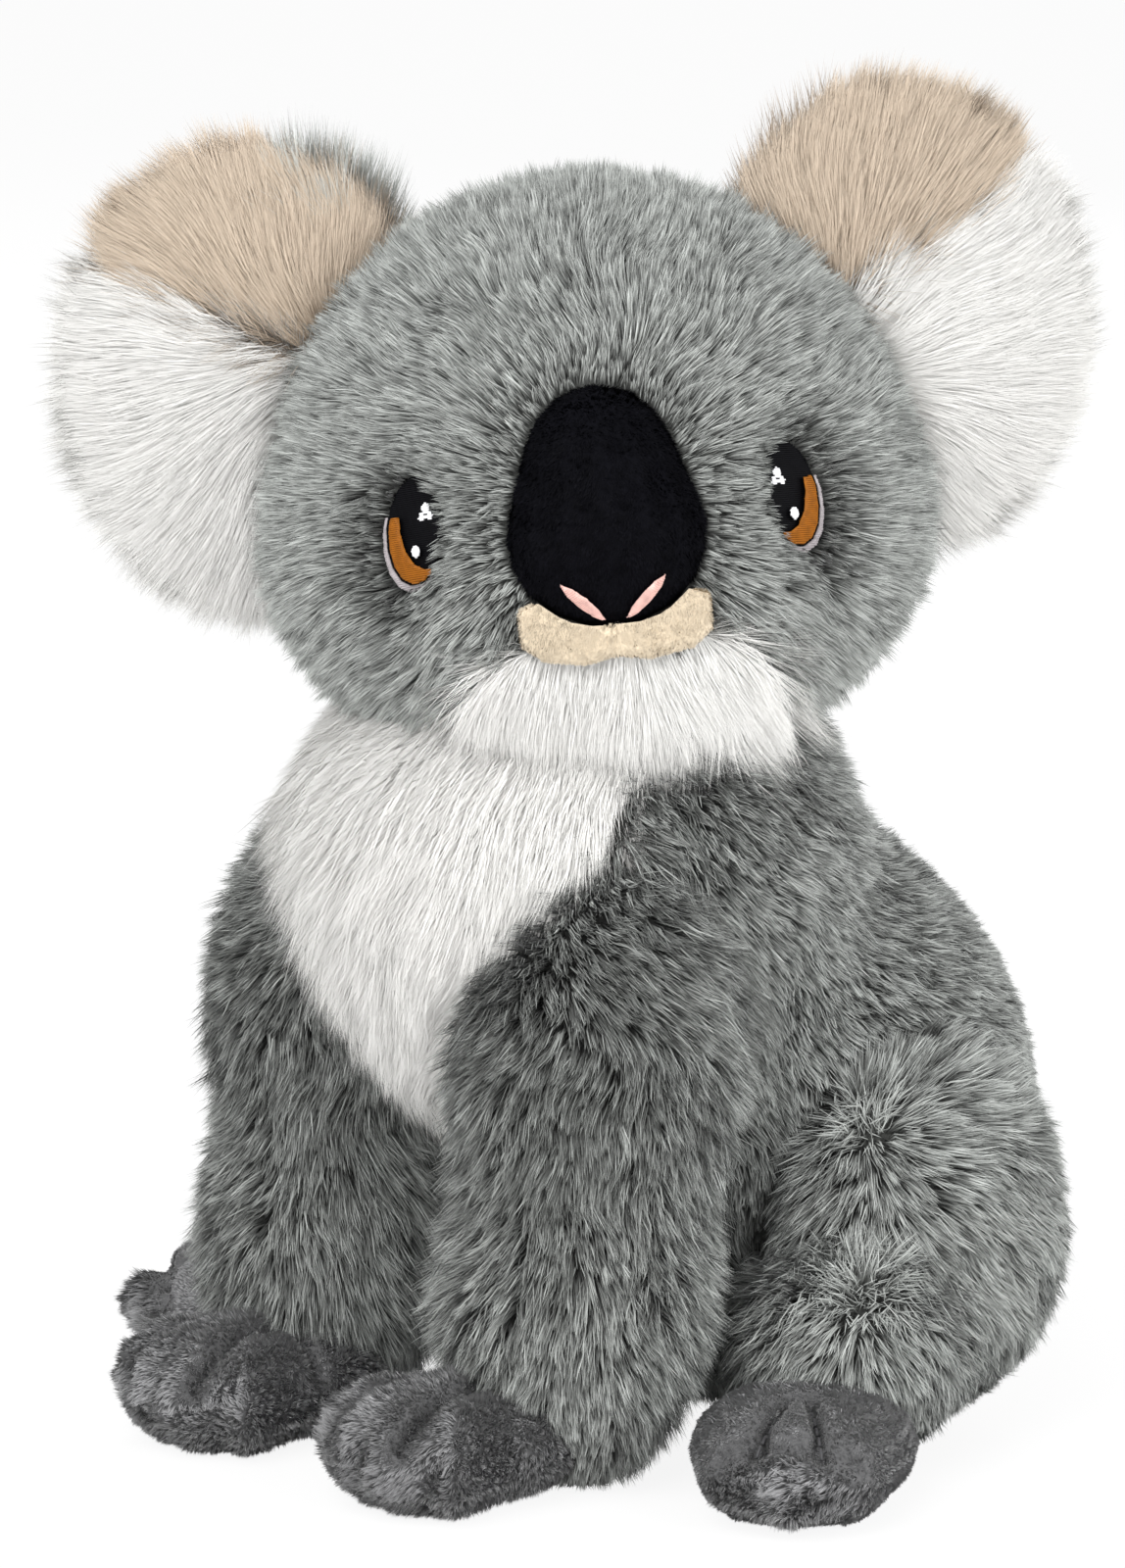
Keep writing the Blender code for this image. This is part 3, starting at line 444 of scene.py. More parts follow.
def coat_pieces(name, coat, field, look, seed, pieces=1):
    """Makes a coat's fur of bent locks and straight finer fibres, each as several pieces where asked."""
    rng = np.random.default_rng(seed)
    locks = grow(field, coat, rng, seed)
    bent = rng.random(len(locks["roots"])) < coat.get("bent", 0.36)
    fine = picked(locks, ~bent)
    fine["widths"] = fine["widths"] * 1.15
    for kind, some in (("locks", picked(locks, bent)), ("fibres", fine)):
        roots = some["roots"]
        centre = roots.mean(axis=0)
        order = np.argsort(np.arctan2(roots[:, 1] - centre[1], roots[:, 0] - centre[0]), kind="stable")
        for i, chosen in enumerate(np.array_split(order, pieces)):
            label = f"{name}_{kind}" if pieces == 1 else f"{name}_{kind}_{i + 1}"
            mesh = strands_mesh(label, picked(some, chosen), kind == "locks", coat.get("soft", 0.55))
            dress(link(label, mesh), look, field.node)


# Finishes

def nodes_of(name, roughness, gloss, sheen=0.0):
    """A new material, its node tree and its main shader."""
    made = bpy.data.materials.new(name)
    made.use_nodes = True
    shader = made.node_tree.nodes["Principled BSDF"]
    for key, value in (("Roughness", roughness), ("Specular IOR Level", gloss), ("Sheen Weight", sheen)):
        shader.inputs[key].default_value = value
    return made, made.node_tree, shader


def add(tree, kind, inputs=(), **values):
    """A shader node with some of its inputs and settings."""
    made = tree.nodes.new(kind)
    for key, value in values.items():
        setattr(made, key, value)
    for key, value in inputs:
        made.inputs[key].default_value = value
    return made


def ramp(tree, stops, source):
    """A colour ramp over (place, colour) stops, fed from a socket."""
    made = tree.nodes.new("ShaderNodeValToRGB")
    elements = made.color_ramp.elements
    elements[0].position, elements[1].position = stops[0][0], stops[-1][0]
    for place, _ in stops[1:-1]:
        elements.new(place)
    for element, (_, tint) in zip(elements, stops):
        element.color = (*tint, 1.0)
    tree.links.new(source, made.inputs["Fac"])
    return made.outputs["Color"]


def mixed(tree, factor, first, second, way="MIX"):
    """A colour mix whose factor and colours may be sockets or values."""
    made = add(tree, "ShaderNodeMix", data_type="RGBA", blend_type=way)
    for key, value in (("Factor", factor), ("A", first), ("B", second)):
        wanted = "VALUE" if key == "Factor" else "RGBA"
        socket = next(s for s in made.inputs if s.name == key and s.type == wanted)
        if isinstance(value, bpy.types.NodeSocket):
            tree.links.new(value, socket)
        else:
            socket.default_value = value if key == "Factor" else (*value, 1.0)
    return next(s for s in made.outputs if s.type == "RGBA")


def fur_look(name, root, body, tip, shade=(0.60, 0.38, 0.80, 0.15), roughness=0.62, sheen=0.20, gloss=0.20):
    """Fur whose colour runs from root to tip, darker or paler by each lock's own tone."""
    made, tree, shader = nodes_of(name, roughness, gloss, sheen)
    place = add(tree, "ShaderNodeUVMap", uv_map="strand")
    split = add(tree, "ShaderNodeSeparateXYZ")
    tree.links.new(place.outputs["UV"], split.inputs[0])
    up = split.outputs["Y"]
    deep = scaled(root, (1.0 + shade[0]) / 2.0)
    edge = blend(scaled(body, shade[2]), tip, shade[3])
    dark = ramp(tree, ((0.0, scaled(root, shade[0])), (0.35, deep), (0.75, scaled(body, shade[1])),
                       (1.0, edge)), up)
    pale = ramp(tree, ((0.0, root), (0.30, blend(root, body, 0.75)), (0.65, blend(body, tip, 0.60)),
                       (1.0, tip)), up)
    tree.links.new(mixed(tree, split.outputs["X"], dark, pale), shader.inputs["Base Color"])
    return made


def grey_look(name, tints):
    return fur_look(name, tints.grey_root, tints.grey_body, tints.grey_tip)


def white_look(name, tints, level):
    # Copies of the one white fur at different levels, painted light and shade: the chin and bib are made paler and
    # the ears darker
    root, tip = scaled(tints.white_root, level), scaled(tints.white_tip, level)
    return fur_look(name, root, blend(root, tip, 0.6), tip, (0.98, 0.97, 0.98, 0.0))


def scaled(tint, factor):
    return tuple(min(part * factor, 1.0) for part in tint)


def blend(first, second, factor):
    return tuple(a + (b - a) * factor for a, b in zip(first, second))


def speckle(tree, scale, detail=2.0):
    """Smooth noise over a piece, as a socket."""
    place = add(tree, "ShaderNodeTexCoord")
    texture = add(tree, "ShaderNodeTexNoise", (("Scale", scale), ("Detail", detail)))
    tree.links.new(place.outputs["Object"], texture.inputs["Vector"])
    return texture.outputs["Fac"]


def cloth_look(name, tint, bump=0.4, fine=900.0, coarse=60.0, roughness=0.9, sheen=0.15, gloss=0.2):
    """Knitted backing or felt: mottled colour and a fine uneven surface."""
    made, tree, shader = nodes_of(name, roughness, gloss, sheen)
    small = speckle(tree, fine)
    tone = ramp(tree, ((0.30, scaled(tint, 0.78)), (0.70, scaled(tint, 1.18))), speckle(tree, coarse, 3.0))
    grain = ramp(tree, ((0.30, (0.80, 0.80, 0.80)), (0.70, (1.0, 1.0, 1.0))), small)
    tree.links.new(mixed(tree, 1.0, tone, grain, "MULTIPLY"), shader.inputs["Base Color"])
    relief = add(tree, "ShaderNodeBump", (("Strength", bump), ("Distance", 0.0003)))
    tree.links.new(small, relief.inputs["Height"])
    tree.links.new(relief.outputs["Normal"], shader.inputs["Normal"])
    return made


def thread_look(name, tint, shine=0.42, sheen=0.1, gloss=0.4):
    """Satin embroidery thread: a little colour change from stitch to stitch."""
    made, tree, shader = nodes_of(name, shine, gloss, sheen)
    tone = ramp(tree, ((0.30, scaled(tint, 0.80)), (0.70, scaled(tint, 1.15))), speckle(tree, 700.0))
    tree.links.new(tone, shader.inputs["Base Color"])
    return made


def settings():
    scene = bpy.context.scene
    return scene.koala_fur, scene.koala_plush, scene.koala_colours, scene.koala_stage


# Backing, stuffing

def backing(node, look, slot, cuts=BACKING_CUTS, shape=None):
    """The sewn skin under the fur: the CAD skin with smoother faces."""
    bm = merged_copy(node, cuts)
    bmesh.ops.recalc_face_normals(bm, faces=bm.faces[:])
    if shape is not None:
        bm.normal_update()
        shape(bm)
    made = link(f"{node}_cloth", mesh_of(bm, f"{node}_cloth"))
    made.data.set_sharp_from_angle(angle=CLOTH_CORNER)
    dress(made, look, node, True)


def filling(node, look, depth, shape=None):
    """Stuffing: the CAD solid with the lumps of loose fibre, pressed in where its skin is folded."""
    bm = merged_copy(node, FILLING_CUTS)
    ways = [v.normal.copy() for v in bm.verts]
    for vertex, way in zip(bm.verts, ways):
        lump = noise.fractal(vertex.co / LUMP, 1.0, 2.0, 3)
        vertex.co -= way * depth * (0.5 + 0.5 * max(-1.0, min(1.0, lump)))
    if shape is not None:
        bm.normal_update()
        shape(bm)
    dress(link(f"{node}_fibre", mesh_of(bm, f"{node}_fibre")), look, node, True)


def folds_of(node):
    """The folds of a paw or foot that its stuffing follows, or None."""
    kind, _, side = node.split("_") if node.count("_") == 2 else ("", "", "")
    shapes = {"paw": paw_shape, "foot": foot_shape}
    return shapes[kind](side)[0] if kind in shapes else None


class KOALA_OT_stuffing(bpy.types.Operator):
    """Adds the fibre filling and the bag of pellets"""

    bl_idname = "koala.stuffing"
    bl_label = "Stuffing"

    def execute(self, context):
        fibre = cloth_look("loose_fibre", (0.82, 0.82, 0.80), 0.8, 500.0, 90.0, 1.0)
        cotton = cloth_look("bag_weave", (0.62, 0.61, 0.58), 0.6, 1200.0, 40.0)
        for node in BODY_OF:
            if "stuffing" in node or "padding" in node:
                filling(node, fibre, 0.0004, folds_of(node))
            elif node == "pellet_bag":
                filling(node, cotton, 0.0006)
        return {"FINISHED"}


class KOALA_OT_skins(bpy.types.Operator):
    """Adds the sewn fabric under the fur of the body, head, ears, arms and legs"""

    bl_idname = "koala.skins"
    bl_label = "Fabric skins"

    def execute(self, context):
        _, _, tints, _ = settings()
        # The grey backing is dark like the roots: painted shade of the deep pile that shows between the locks
        grey = cloth_look("grey_backing", scaled(tints.grey_root, 2.0)), "grey_fur"
        white = cloth_look("white_backing", tints.white_root), "white_fur"
        tan = cloth_look("tan_backing", scaled(tints.tan_root, 0.9)), "tan_fur"
        for node, finish in (("body_skin", grey), ("chest_bib", white), ("head_skin", grey),
                             ("chin_patch", white)):
            backing(node, *finish)
        for side in SIDES:
            for part, finish in (("ear_back", grey), ("ear_tan", tan), ("ear_white", white),
                                 ("arm_skin", grey), ("leg_skin", grey)):
                backing(f"{part}_{side}", *finish)
        return {"FINISHED"}


# Fur

def gaps_to(points, *nodes):
    """How far each point lies from the corners of some CAD nodes."""
    corners = [v.co for n in nodes for v in frame["nodes"][n].data.vertices]
    tree = KDTree(len(corners))
    for i, corner in enumerate(corners):
        tree.insert(corner, i)
    tree.balance()
    return np.fromiter((tree.find(p)[2] for p in points), dtype=float, count=len(points))


def beside(points, near, far, *nodes):
    """1 up to a near gap from some CAD nodes, falling to 0 at a far one."""
    return fade(gaps_to(points, *nodes), near, far)


def head_style(points, normals):
    """Fur that runs up and out from the nose, round the eyes and away from the chin, darkened with painted shade
    round the eyes, nose and lip.
    """
    nose = middle("nose_skin")
    away = unit(points - nose)
    back = smoothstep(np.linalg.norm(points - nose, axis=1), 0.055, 0.100)[:, None]
    comb = away * (1.0 - back) - UP * (0.20 + 0.8 * back)
    room = np.minimum(smoothstep(gaps_to(points, "nose_skin"), 0.0, 0.007),
                      smoothstep(gaps_to(points, "lip_band"), 0.0, 0.005))
    shade = np.ones(len(points))
    upright = np.zeros(len(points))
    for side in SIDES:
        eye = middle(f"eye_black_{side}")
        off = points - eye
        gap = gaps_to(points, f"eye_black_{side}", f"eye_rim_{side}")
        outside = smoothstep(unit(off) @ direction(eye - nose), -0.35, 0.45)
        near = fade(gap, 0.0005, 0.0075)
        comb *= (1.0 - 0.8 * near * outside)[:, None]
        room = np.minimum(room, 1.0 - near * 0.80)
        shade = np.minimum(shade, 1.0 - fade(gap, 0.001, 0.010) * (0.3 + 0.7 * outside))
        upright = np.maximum(upright, near * outside)
    chin = beside(points, 0.0005, 0.008, "chin_patch")
    comb = comb * (1.0 - chin)[:, None] + unit(points - middle("chin_patch")) * chin[:, None]
    tall = (0.40 + 0.60 * room) * (1.0 - 0.30 * chin)
    lift = np.clip((points[:, 2] - middle("head_skin")[2]) / 0.045, -1.0, 1.0)
    # Painted shade: the fur is darker round the eyes, most on their outer side, and close to the nose and lip,
    # where they sit in hollows
    tones = 0.45 - 0.04 * lift - 0.30 * (1.0 - shade) - 0.10 * (1.0 - room)
    return comb, tall, tones, (0.85 + 0.15 * back[:, 0]) * (1.0 - 0.85 * upright)


def chin_style(points, normals):
    lip = middle("lip_band")
    comb = unit(points - lip) * 0.35 - UP
    room = smoothstep(gaps_to(points, "lip_band"), 0.0, 0.007)
    low = fade(points[:, 2], 0.122, 0.134)
    return comb, (0.55 + 0.45 * room) * (1.0 + 0.95 * low), np.full(len(points), 0.90), 1.0 - 0.30 * low


def body_style(points, normals):
    """Fur that hangs down the back, longest over the shoulder seam, and short and darkened with painted shade
    above the thigh and in the crease by the arm.
    """
    _, y, z = points.T
    comb = everywhere((0.0, 0.30, -1.0), points)
    front = fade(y, -0.032, 0.018)
    seam = beside(points, 0.0, 0.007, "chest_bib")
    comb += np.sign(points[:, :1]) * np.array((1.0, 0.4, 0.0)) * seam[:, None] * -0.35
    thigh = beside(points, 0.001, 0.007, "leg_skin_left", "leg_skin_right")
    arm = beside(points, 0.0, 0.008, "arm_skin_left", "arm_skin_right")
    high = smoothstep(z, 0.070, 0.085)
    rump = smoothstep(y, 0.030, 0.065)
    tall = (1.0 - 0.45 * rump) * (1.0 - 0.80 * thigh) * (1.0 + arm * (high - 0.4))
    # Painted shade: darker in the crease above the thigh and low down beside the arm
    tones = 0.50 - 0.38 * front - 0.50 * thigh - 0.30 * arm * (1.0 - high)
    return comb, tall, tones, np.ones(len(points))


def bib_style(points, normals):
    """White fur that hangs down the chest and leans in from the near shoulder, darker at its top with the chin's
    painted shadow.
    """
    x, _, z = points.T
    comb = everywhere((0.0, -0.15, -1.0), points)
    edge = beside(points, 0.0, 0.014, "body_skin", "arm_skin_left") * (x > 0.0)
    comb[:, 0] -= edge * 0.45
    top = smoothstep(z, 0.075, 0.125)
    under = smoothstep(z, 0.108, 0.124)
    tall = (0.75 + 0.25 * top) * (1.0 - 0.45 * under) * (1.0 - 0.30 * edge)
    # Painted shadow: the white is darker at the top of the bib, under the chin
    return comb, tall, 0.60 - 0.50 * under, np.ones(len(points))


def arm_style(points, normals):
    """Fur that hangs down the arm, short by the bib and above the paw, paler behind and at the wrist."""
    x, y, z = points.T
    low = fade(z, 0.020, 0.075)
    behind = smoothstep(y, -0.047, -0.017)
    high = smoothstep(z, 0.070, 0.095)
    out = np.sign(x)
    comb = everywhere((0.0, -0.10, -1.0), points)
    comb[:, 0] += out * 0.9 * high
    comb[:, 1] += 0.35 * high
    bib = beside(points, 0.0, 0.014, "chest_bib")
    comb[:, 0] -= out * bib * 0.5
    comb[:, 1] -= bib * 0.3
    inwards = out * (np.abs(middle("arm_skin_left")[0]) * out - x)
    inner = smoothstep(inwards, 0.002, 0.014) * (1.0 - high)
    comb[:, 0] -= out * inner * 0.4
    wrist = smoothstep(z, 0.010, 0.030)
    front = fade(y, -0.047, -0.032)
    tall = (1.0 - 0.55 * (1.0 - wrist) * (0.35 + 0.65 * front)) * (1.0 - 0.25 * bib) * (1.0 + 0.3 * inner)
    return comb, tall, 0.04 + 0.32 * low + 0.28 * behind + 0.12 * bib, np.full(len(points), 0.95)


def leg_style_for(side):
    """Fur that spreads from a tangled whorl on the outside of the thigh, tangled too on the knee, with painted
    shade in the crease under the body and painted light at the whorl and on the knee.
    """
    sign = 1.0 if side == "left" else -1.0
    whorl = np.array((sign * 0.051, 0.010, 0.0575))
    knee_top = np.array((sign * 0.061, 0.001, 0.0335))
    out = direction(np.array((sign * 0.80, -0.55, 0.24)))

    def style(points, normals):
        _, y, z = points.T
        off = points - whorl
        gap = np.linalg.norm(off, axis=1)
        off -= out * (off @ out)[:, None]
        near = fade(gap, 0.0015, 0.0075)
        bare = fade(np.linalg.norm(points - knee_top, axis=1), 0.002, 0.014)
        crease = beside(points, 0.001, 0.007, "body_skin")
        tangle = unit(np.random.default_rng(7).normal(size=points.shape))
        rear = smoothstep(y, 0.030, 0.055)
        ankle = smoothstep(z, 0.006, 0.026)
        bend = np.exp(-((z - 0.030) / 0.010) ** 2)
        tall = (0.50 + 0.50 * ankle) * (1.0 + 0.10 * bend) * (1.0 - 0.50 * rear) * (1.0 - 0.60 * crease)
        knee = fade(z, 0.034, 0.050)
        loose = np.maximum(near, bare * 0.85)[:, None]
        comb = (unit(off) - UP * 0.15 + out * knee[:, None] * 0.6) * (1.0 - loose) + tangle * loose
        # Painted shade darkens the fur in the crease under the body; painted light makes it paler at the whorl,
        # where the fur parts, and on the knee, which faces down
        tones = 0.48 + 0.36 * near + 0.04 * bend + 0.24 * bare - 0.46 * crease
        return comb, tall, tones, 1.0 + 0.15 * near

    return style


def ear_style_for(side, part, tone):
    """Fur that spreads from the root of the ear over its rim, longest at the inner top of its grey back."""
    pivot = next(j for j in frame["joints"] if j["name"] == f"ear_root_{side}")
    root = np.array(pivot["pos_m"]) + UP * (-0.010 if side == "left" else 0.002)
    tufted = 0.35 if side == "left" else 1.0
    out = direction((middle(f"ear_white_{side}") - middle("head_skin")) * LEVEL)

    def style(points, normals):
        flat = np.ones(len(points))
        comb = unit(points - root)
        inner = smoothstep(-((points - middle(f"ear_back_{side}")) @ out), -0.006, 0.012)
        high = smoothstep(points[:, 2], root[2] + 0.004, root[2] + 0.020)
        tuft = inner * high if part == "back" else flat * 0.0
        tall = flat
        if part == "back":
            room = smoothstep(gaps_to(points, f"ear_tan_{side}", f"ear_white_{side}"), 0.0005, 0.0070)
            tall = 0.42 * (0.45 + 0.55 * room) + 1.00 * tufted * tuft
        return comb + UP * (tuft * 0.8)[:, None], tall, flat * tone, 1.0 - 0.25 * tuft

    return style


class KOALA_OT_head_fur(bpy.types.Operator):
    """Grows the grey fur of the head and the white fur of the chin"""

    bl_idname = "koala.head_fur"
    bl_label = "Head fur"

    def execute(self, context):
        fur, _, tints, _ = settings()
        coat = {"length": fur.head, "width": fur.strand, "per_mm2": 9.2 * fur.thickness, "clump_size": 14,
                "lean": (22.0, 52.0), "style": head_style, "pull": 0.55, "tone_clump": 0.42}
        grey = grey_look("head_fur_grey", tints)
        coat_pieces("head_fur", coat, Field("head_skin", FACE_CUTS), grey, 11, 2)
        coat = dict(SMOOTH, length=fur.chin, width=fur.fine, per_mm2=24.0 * fur.thickness, clump_size=26,
                    lean=(28.0, 58.0), style=chin_style, pull=0.12)
        # Painted light: the chin's white is the palest copy
        white = white_look("chin_fur_white", tints, 1.11)
        coat_pieces("chin_fur", coat, Field("chin_patch"), white, 12)
        return {"FINISHED"}


class KOALA_OT_body_fur(bpy.types.Operator):
    """Grows the grey fur of the back and rump and the white fur of the bib"""

    bl_idname = "koala.body_fur"
    bl_label = "Body fur"

    def execute(self, context):
        fur, _, tints, _ = settings()
        coat = {"length": fur.body, "width": fur.strand, "per_mm2": 6.6 * fur.thickness, "clump_size": 11,
                "lean": (20.0, 48.0), "style": body_style, "pull": 0.62, "tone_clump": 0.60}
        grey = grey_look("body_fur_grey", tints)
        coat_pieces("body_fur", coat, Field("body_skin"), grey, 21, 2)
        coat = dict(SMOOTH, length=fur.bib, width=fur.fine, per_mm2=19.5 * fur.thickness, clump_size=50,
                    lean=(38.0, 70.0), style=bib_style, pull=0.14, swirl=0.014, sway=0.6)
        # Painted light: the bib's white is a slightly paler copy
        white = white_look("bib_fur_white", tints, 1.03)
        coat_pieces("bib_fur", coat, Field("chest_bib"), white, 22)
        return {"FINISHED"}


class KOALA_OT_ear_fur(bpy.types.Operator):
    """Grows the long grey, tan and white fur of the ears"""

    bl_idname = "koala.ear_fur"
    bl_label = "Ear fur"

    def execute(self, context):
        fur, _, tints, _ = settings()
        root, tip = scaled(tints.grey_root, 2.5), tints.grey_tip
        grey = fur_look("ear_fur_grey", root, blend(tints.grey_body, tip, 0.3), tip, (0.8, 0.7, 0.9, 0.3))
        root, tip = tints.tan_root, tints.tan_tip
        tan = fur_look("ear_fur_tan", root, blend(root, tip, 0.6), tip, (0.85, 0.85, 0.92, 0.0))
        # Painted shade: the ears' white is a darker copy
        white = white_look("ear_fur_white", tints, 0.94)
        seed = 30
        for side in SIDES:
            for part, look, tone, soft in (("back", grey, 0.85, 0.85), ("tan", tan, 0.70, 0.85),
                                           ("white", white, 0.20, 1.0)):
                seed += 1
                coat = dict(SMOOTH, length=fur.ear, width=fur.fine, per_mm2=18.5 * fur.thickness,
                            clump_size=34, lean=(42.0, 70.0), style=ear_style_for(side, part, tone),
                            pull=0.12, swirl=0.014, sway=0.4, tone_clump=0.2, tone_loose=0.12, soft=soft)
                coat_pieces(f"ear_{part}_fur_{side}", coat, Field(f"ear_{part}_{side}"), look, seed)
        return {"FINISHED"}


class KOALA_OT_limb_fur(bpy.types.Operator):
    """Grows the grey fur of the arms and legs"""

    bl_idname = "koala.limb_fur"
    bl_label = "Arm and leg fur"

    def execute(self, context):
        fur, _, tints, _ = settings()
        grey = grey_look("limb_fur_grey", tints)
        coat = {"length": fur.limb, "width": fur.strand, "per_mm2": 7.6 * fur.thickness, "clump_size": 15,
                "lean": (26.0, 58.0), "pull": 0.58, "tone_clump": 0.60}
        for i, side in enumerate(SIDES):
            for limb, style, seed in (("arm", arm_style, 41), ("leg", leg_style_for(side), 51)):
                field = Field(f"{limb}_skin_{side}")
                coat_pieces(f"{limb}_fur_{side}", dict(coat, style=style), field, grey, seed + i)
        return {"FINISHED"}


# Short plush

def pile(name, field, coat, look, seed):
    """Short dense pile of one triangle a hair, combed in drifting streaks, shorter and darker with painted shade
    in its folds.
    """
    rng = np.random.default_rng(seed)
    roots, normals = field.sample(coat["per_mm2"], rng)
    count = len(roots)
    centres, nearest = clumps_of(roots, count // coat["clump_size"], rng)
    sway = drift(roots[centres], coat["swirl"], seed)[nearest]
    comb = along_surface(coat["comb"](roots) + sway * coat["sway"], normals)
    clump = rng.random((len(centres), 2))[nearest]
    tilt = np.radians(coat["lean"] + (clump[:, 0] - 0.5) * 40.0 + rng.normal(0.0, 8.0, count))[:, None]
    way = unit(normals * np.cos(tilt) + comb * np.sin(tilt) + rng.normal(0.0, 0.10, (count, 3)))
    sunk = np.zeros(count)
    for line, _, width in coat.get("folds", ()):
        gap = np.maximum(gap_to_line(roots, line) - FOLD_FLOOR, 0.0)
        sunk = np.maximum(sunk, np.exp(-(gap / width) ** 2))
    tall = coat["tall"](roots) if "tall" in coat else 1.0
    size = coat["length"] * tall * (0.7 + 0.5 * rng.random(count)) * (1.0 - 0.6 * sunk)
    tips = roots + way * size[:, None]
    tips += (tips[centres[nearest]] - tips) * coat["pull"]
    flat = unit(np.cross(way, normals) + NUDGE)
    roll = rng.normal(0.0, 0.5, count)[:, None]
    across = unit(flat * np.cos(roll) + np.cross(way, flat) * np.sin(roll))
    widths = coat["width"] * (0.7 + 0.6 * rng.random(count))
    patchy = drift(roots[centres], coat["swirl"] * 0.6, seed + 5)[nearest][:, 0]
    uneven = (clump[:, 1] - 0.5) * 0.5 + patchy * 0.7 + rng.normal(0, 0.14, count)
    # Painted shade: the pile is darker in the floor of each fold
    tones = coat.get("tone", 0.5) + uneven * coat.get("vary", 1.0) - 0.50 * sunk
    locks = {"roots": roots - normals * coat["length"] * 0.1, "mids": tips, "tips": tips, "across": across,
             "widths": widths, "tones": np.clip(tones, *TONE_RANGE), "skin": normals}
    dress(link(name, strands_mesh(name, locks, False, coat.get("soft", 0.75))), look, field.node)


def tree_of(node):
    solid = frame["nodes"][node].data
    return BVHTree.FromPolygons([v.co for v in solid.vertices], [f.vertices[:] for f in solid.polygons])


def line_on(node, starts, way=-UP, reach=1.0):
    """The points of a CAD node that are hit from some places, straight down if nothing else is said."""
    tree = tree_of(node)
    hits = [tree.ray_cast(Vector(start), Vector(way), reach)[0] for start in starts]
    return np.array([hit[:] for hit in hits if hit is not None])


def gap_to_line(points, line):
    best = np.full(len(points), 1.0)
    for start, end in zip(line[:-1], line[1:]):
        way = end - start
        t = np.clip((points - start) @ way / (way @ way), 0.0, 1.0)
        best = np.minimum(best, np.linalg.norm(points - start - t[:, None] * way, axis=1))
    return best


def folder(folds, node, roll=None):
    """A function that presses folds into a bmesh and, for a foot, swells the roll of its toes."""
    core = middle(node)

    def shape(bm):
        points = np.array([v.co[:] for v in bm.verts])
        ways = np.array([v.normal[:] for v in bm.verts])
        ways *= np.where(np.sum(ways * (points - core), axis=1, keepdims=True) < 0.0, -1.0, 1.0)
        high = smoothstep(points[:, 2], 0.0010, 0.0050)
        move = np.zeros(len(points))
        for line, depth, width in folds:
            move -= depth * np.exp(-(gap_to_line(points, line) / width) ** 2)
        if roll is not None:
            start, way, rise = roll
            move += rise * smoothstep((points - start) @ way, 0.001, 0.007)
        for vertex, shift in zip(bm.verts, ways * (move * high)[:, None]):
            vertex.co += Vector(shift)
    return shape


def finger_line(node, shift, degrees, near, far):
    """A line over the top of a paw, beside its middle and close to straight ahead."""
    turn = math.radians(degrees)
    start = middle(node) + np.array((shift, 0.0, ABOVE))
    way = np.array((math.sin(turn), -math.cos(turn), 0.0))
    return line_on(node, [start + way * t for t in np.linspace(near, far, 12)])


def paw_folds(side):
    node = f"paw_skin_{side}"
    sign = 1.0 if side == "left" else -1.0
    folds = [(finger_line(node, shift, turn, -0.012, 0.024), 0.0038, 0.0014)
             for shift, turn in ((-0.0055, -7.0), (0.0055, 7.0))]
    centre = middle(node)
    thumb = [centre + np.array((-sign * x, 0.004 - x * 0.15, ABOVE)) for x in np.linspace(0.004, 0.0155, 6)]
    return folds + [(line_on(node, thumb), 0.0024, 0.0016)]


def foot_lines(side):
    """The two toe stitches of a foot as lines that run out to the toes."""
    lines = []
    heel = middle(f"leg_skin_{side}")
    for part in ("inner", "outer"):
        points = corners_of(f"toe_stitch_{part}_{side}")
        _, _, ways = np.linalg.svd(points - points.mean(axis=0), full_matrices=False)
        order = np.argsort((points - points.mean(axis=0)) @ ways[0])
        ends = points[order[0]], points[order[-1]]
        back, front = sorted(ends, key=lambda p: np.linalg.norm(p - heel))
        spots = [back + (front - back) * t + UP * ABOVE for t in np.linspace(-0.15, 0.95, 10)]
        lines.append(line_on(f"foot_skin_{side}", spots))
    return lines


def foot_shape(side):
    """A foot's folding function, its toe lines, its folds and how its plush stands."""
    lines = foot_lines(side)
    fronts = np.array([line[-1] for line in lines])
    way = direction(sum(line[-1] - line[0] for line in lines))
    across = direction(fronts[1] - fronts[0])
    tip = fronts.mean(axis=0)
    spots = [tip - way * 0.001 + across * t + UP * ABOVE for t in np.linspace(-0.015, 0.015, 9)]
    folds = [(line, 0.0042, 0.0012) for line in lines]
    folds.append((line_on(f"foot_skin_{side}", spots), 0.0026, 0.0020))

    def tall(points):
        return 0.55 + 1.10 * smoothstep((points - tip) @ way, -0.0010, 0.0030)
    return folder(folds, f"foot_skin_{side}", (tip, way, 0.0016)), lines, folds, tall


def paw_shape(side):
    """The same four things for a paw, which has no toe lines and plush of one height."""
    folds = paw_folds(side)
    return folder(folds, f"paw_skin_{side}"), (), folds, lambda points: 1.0


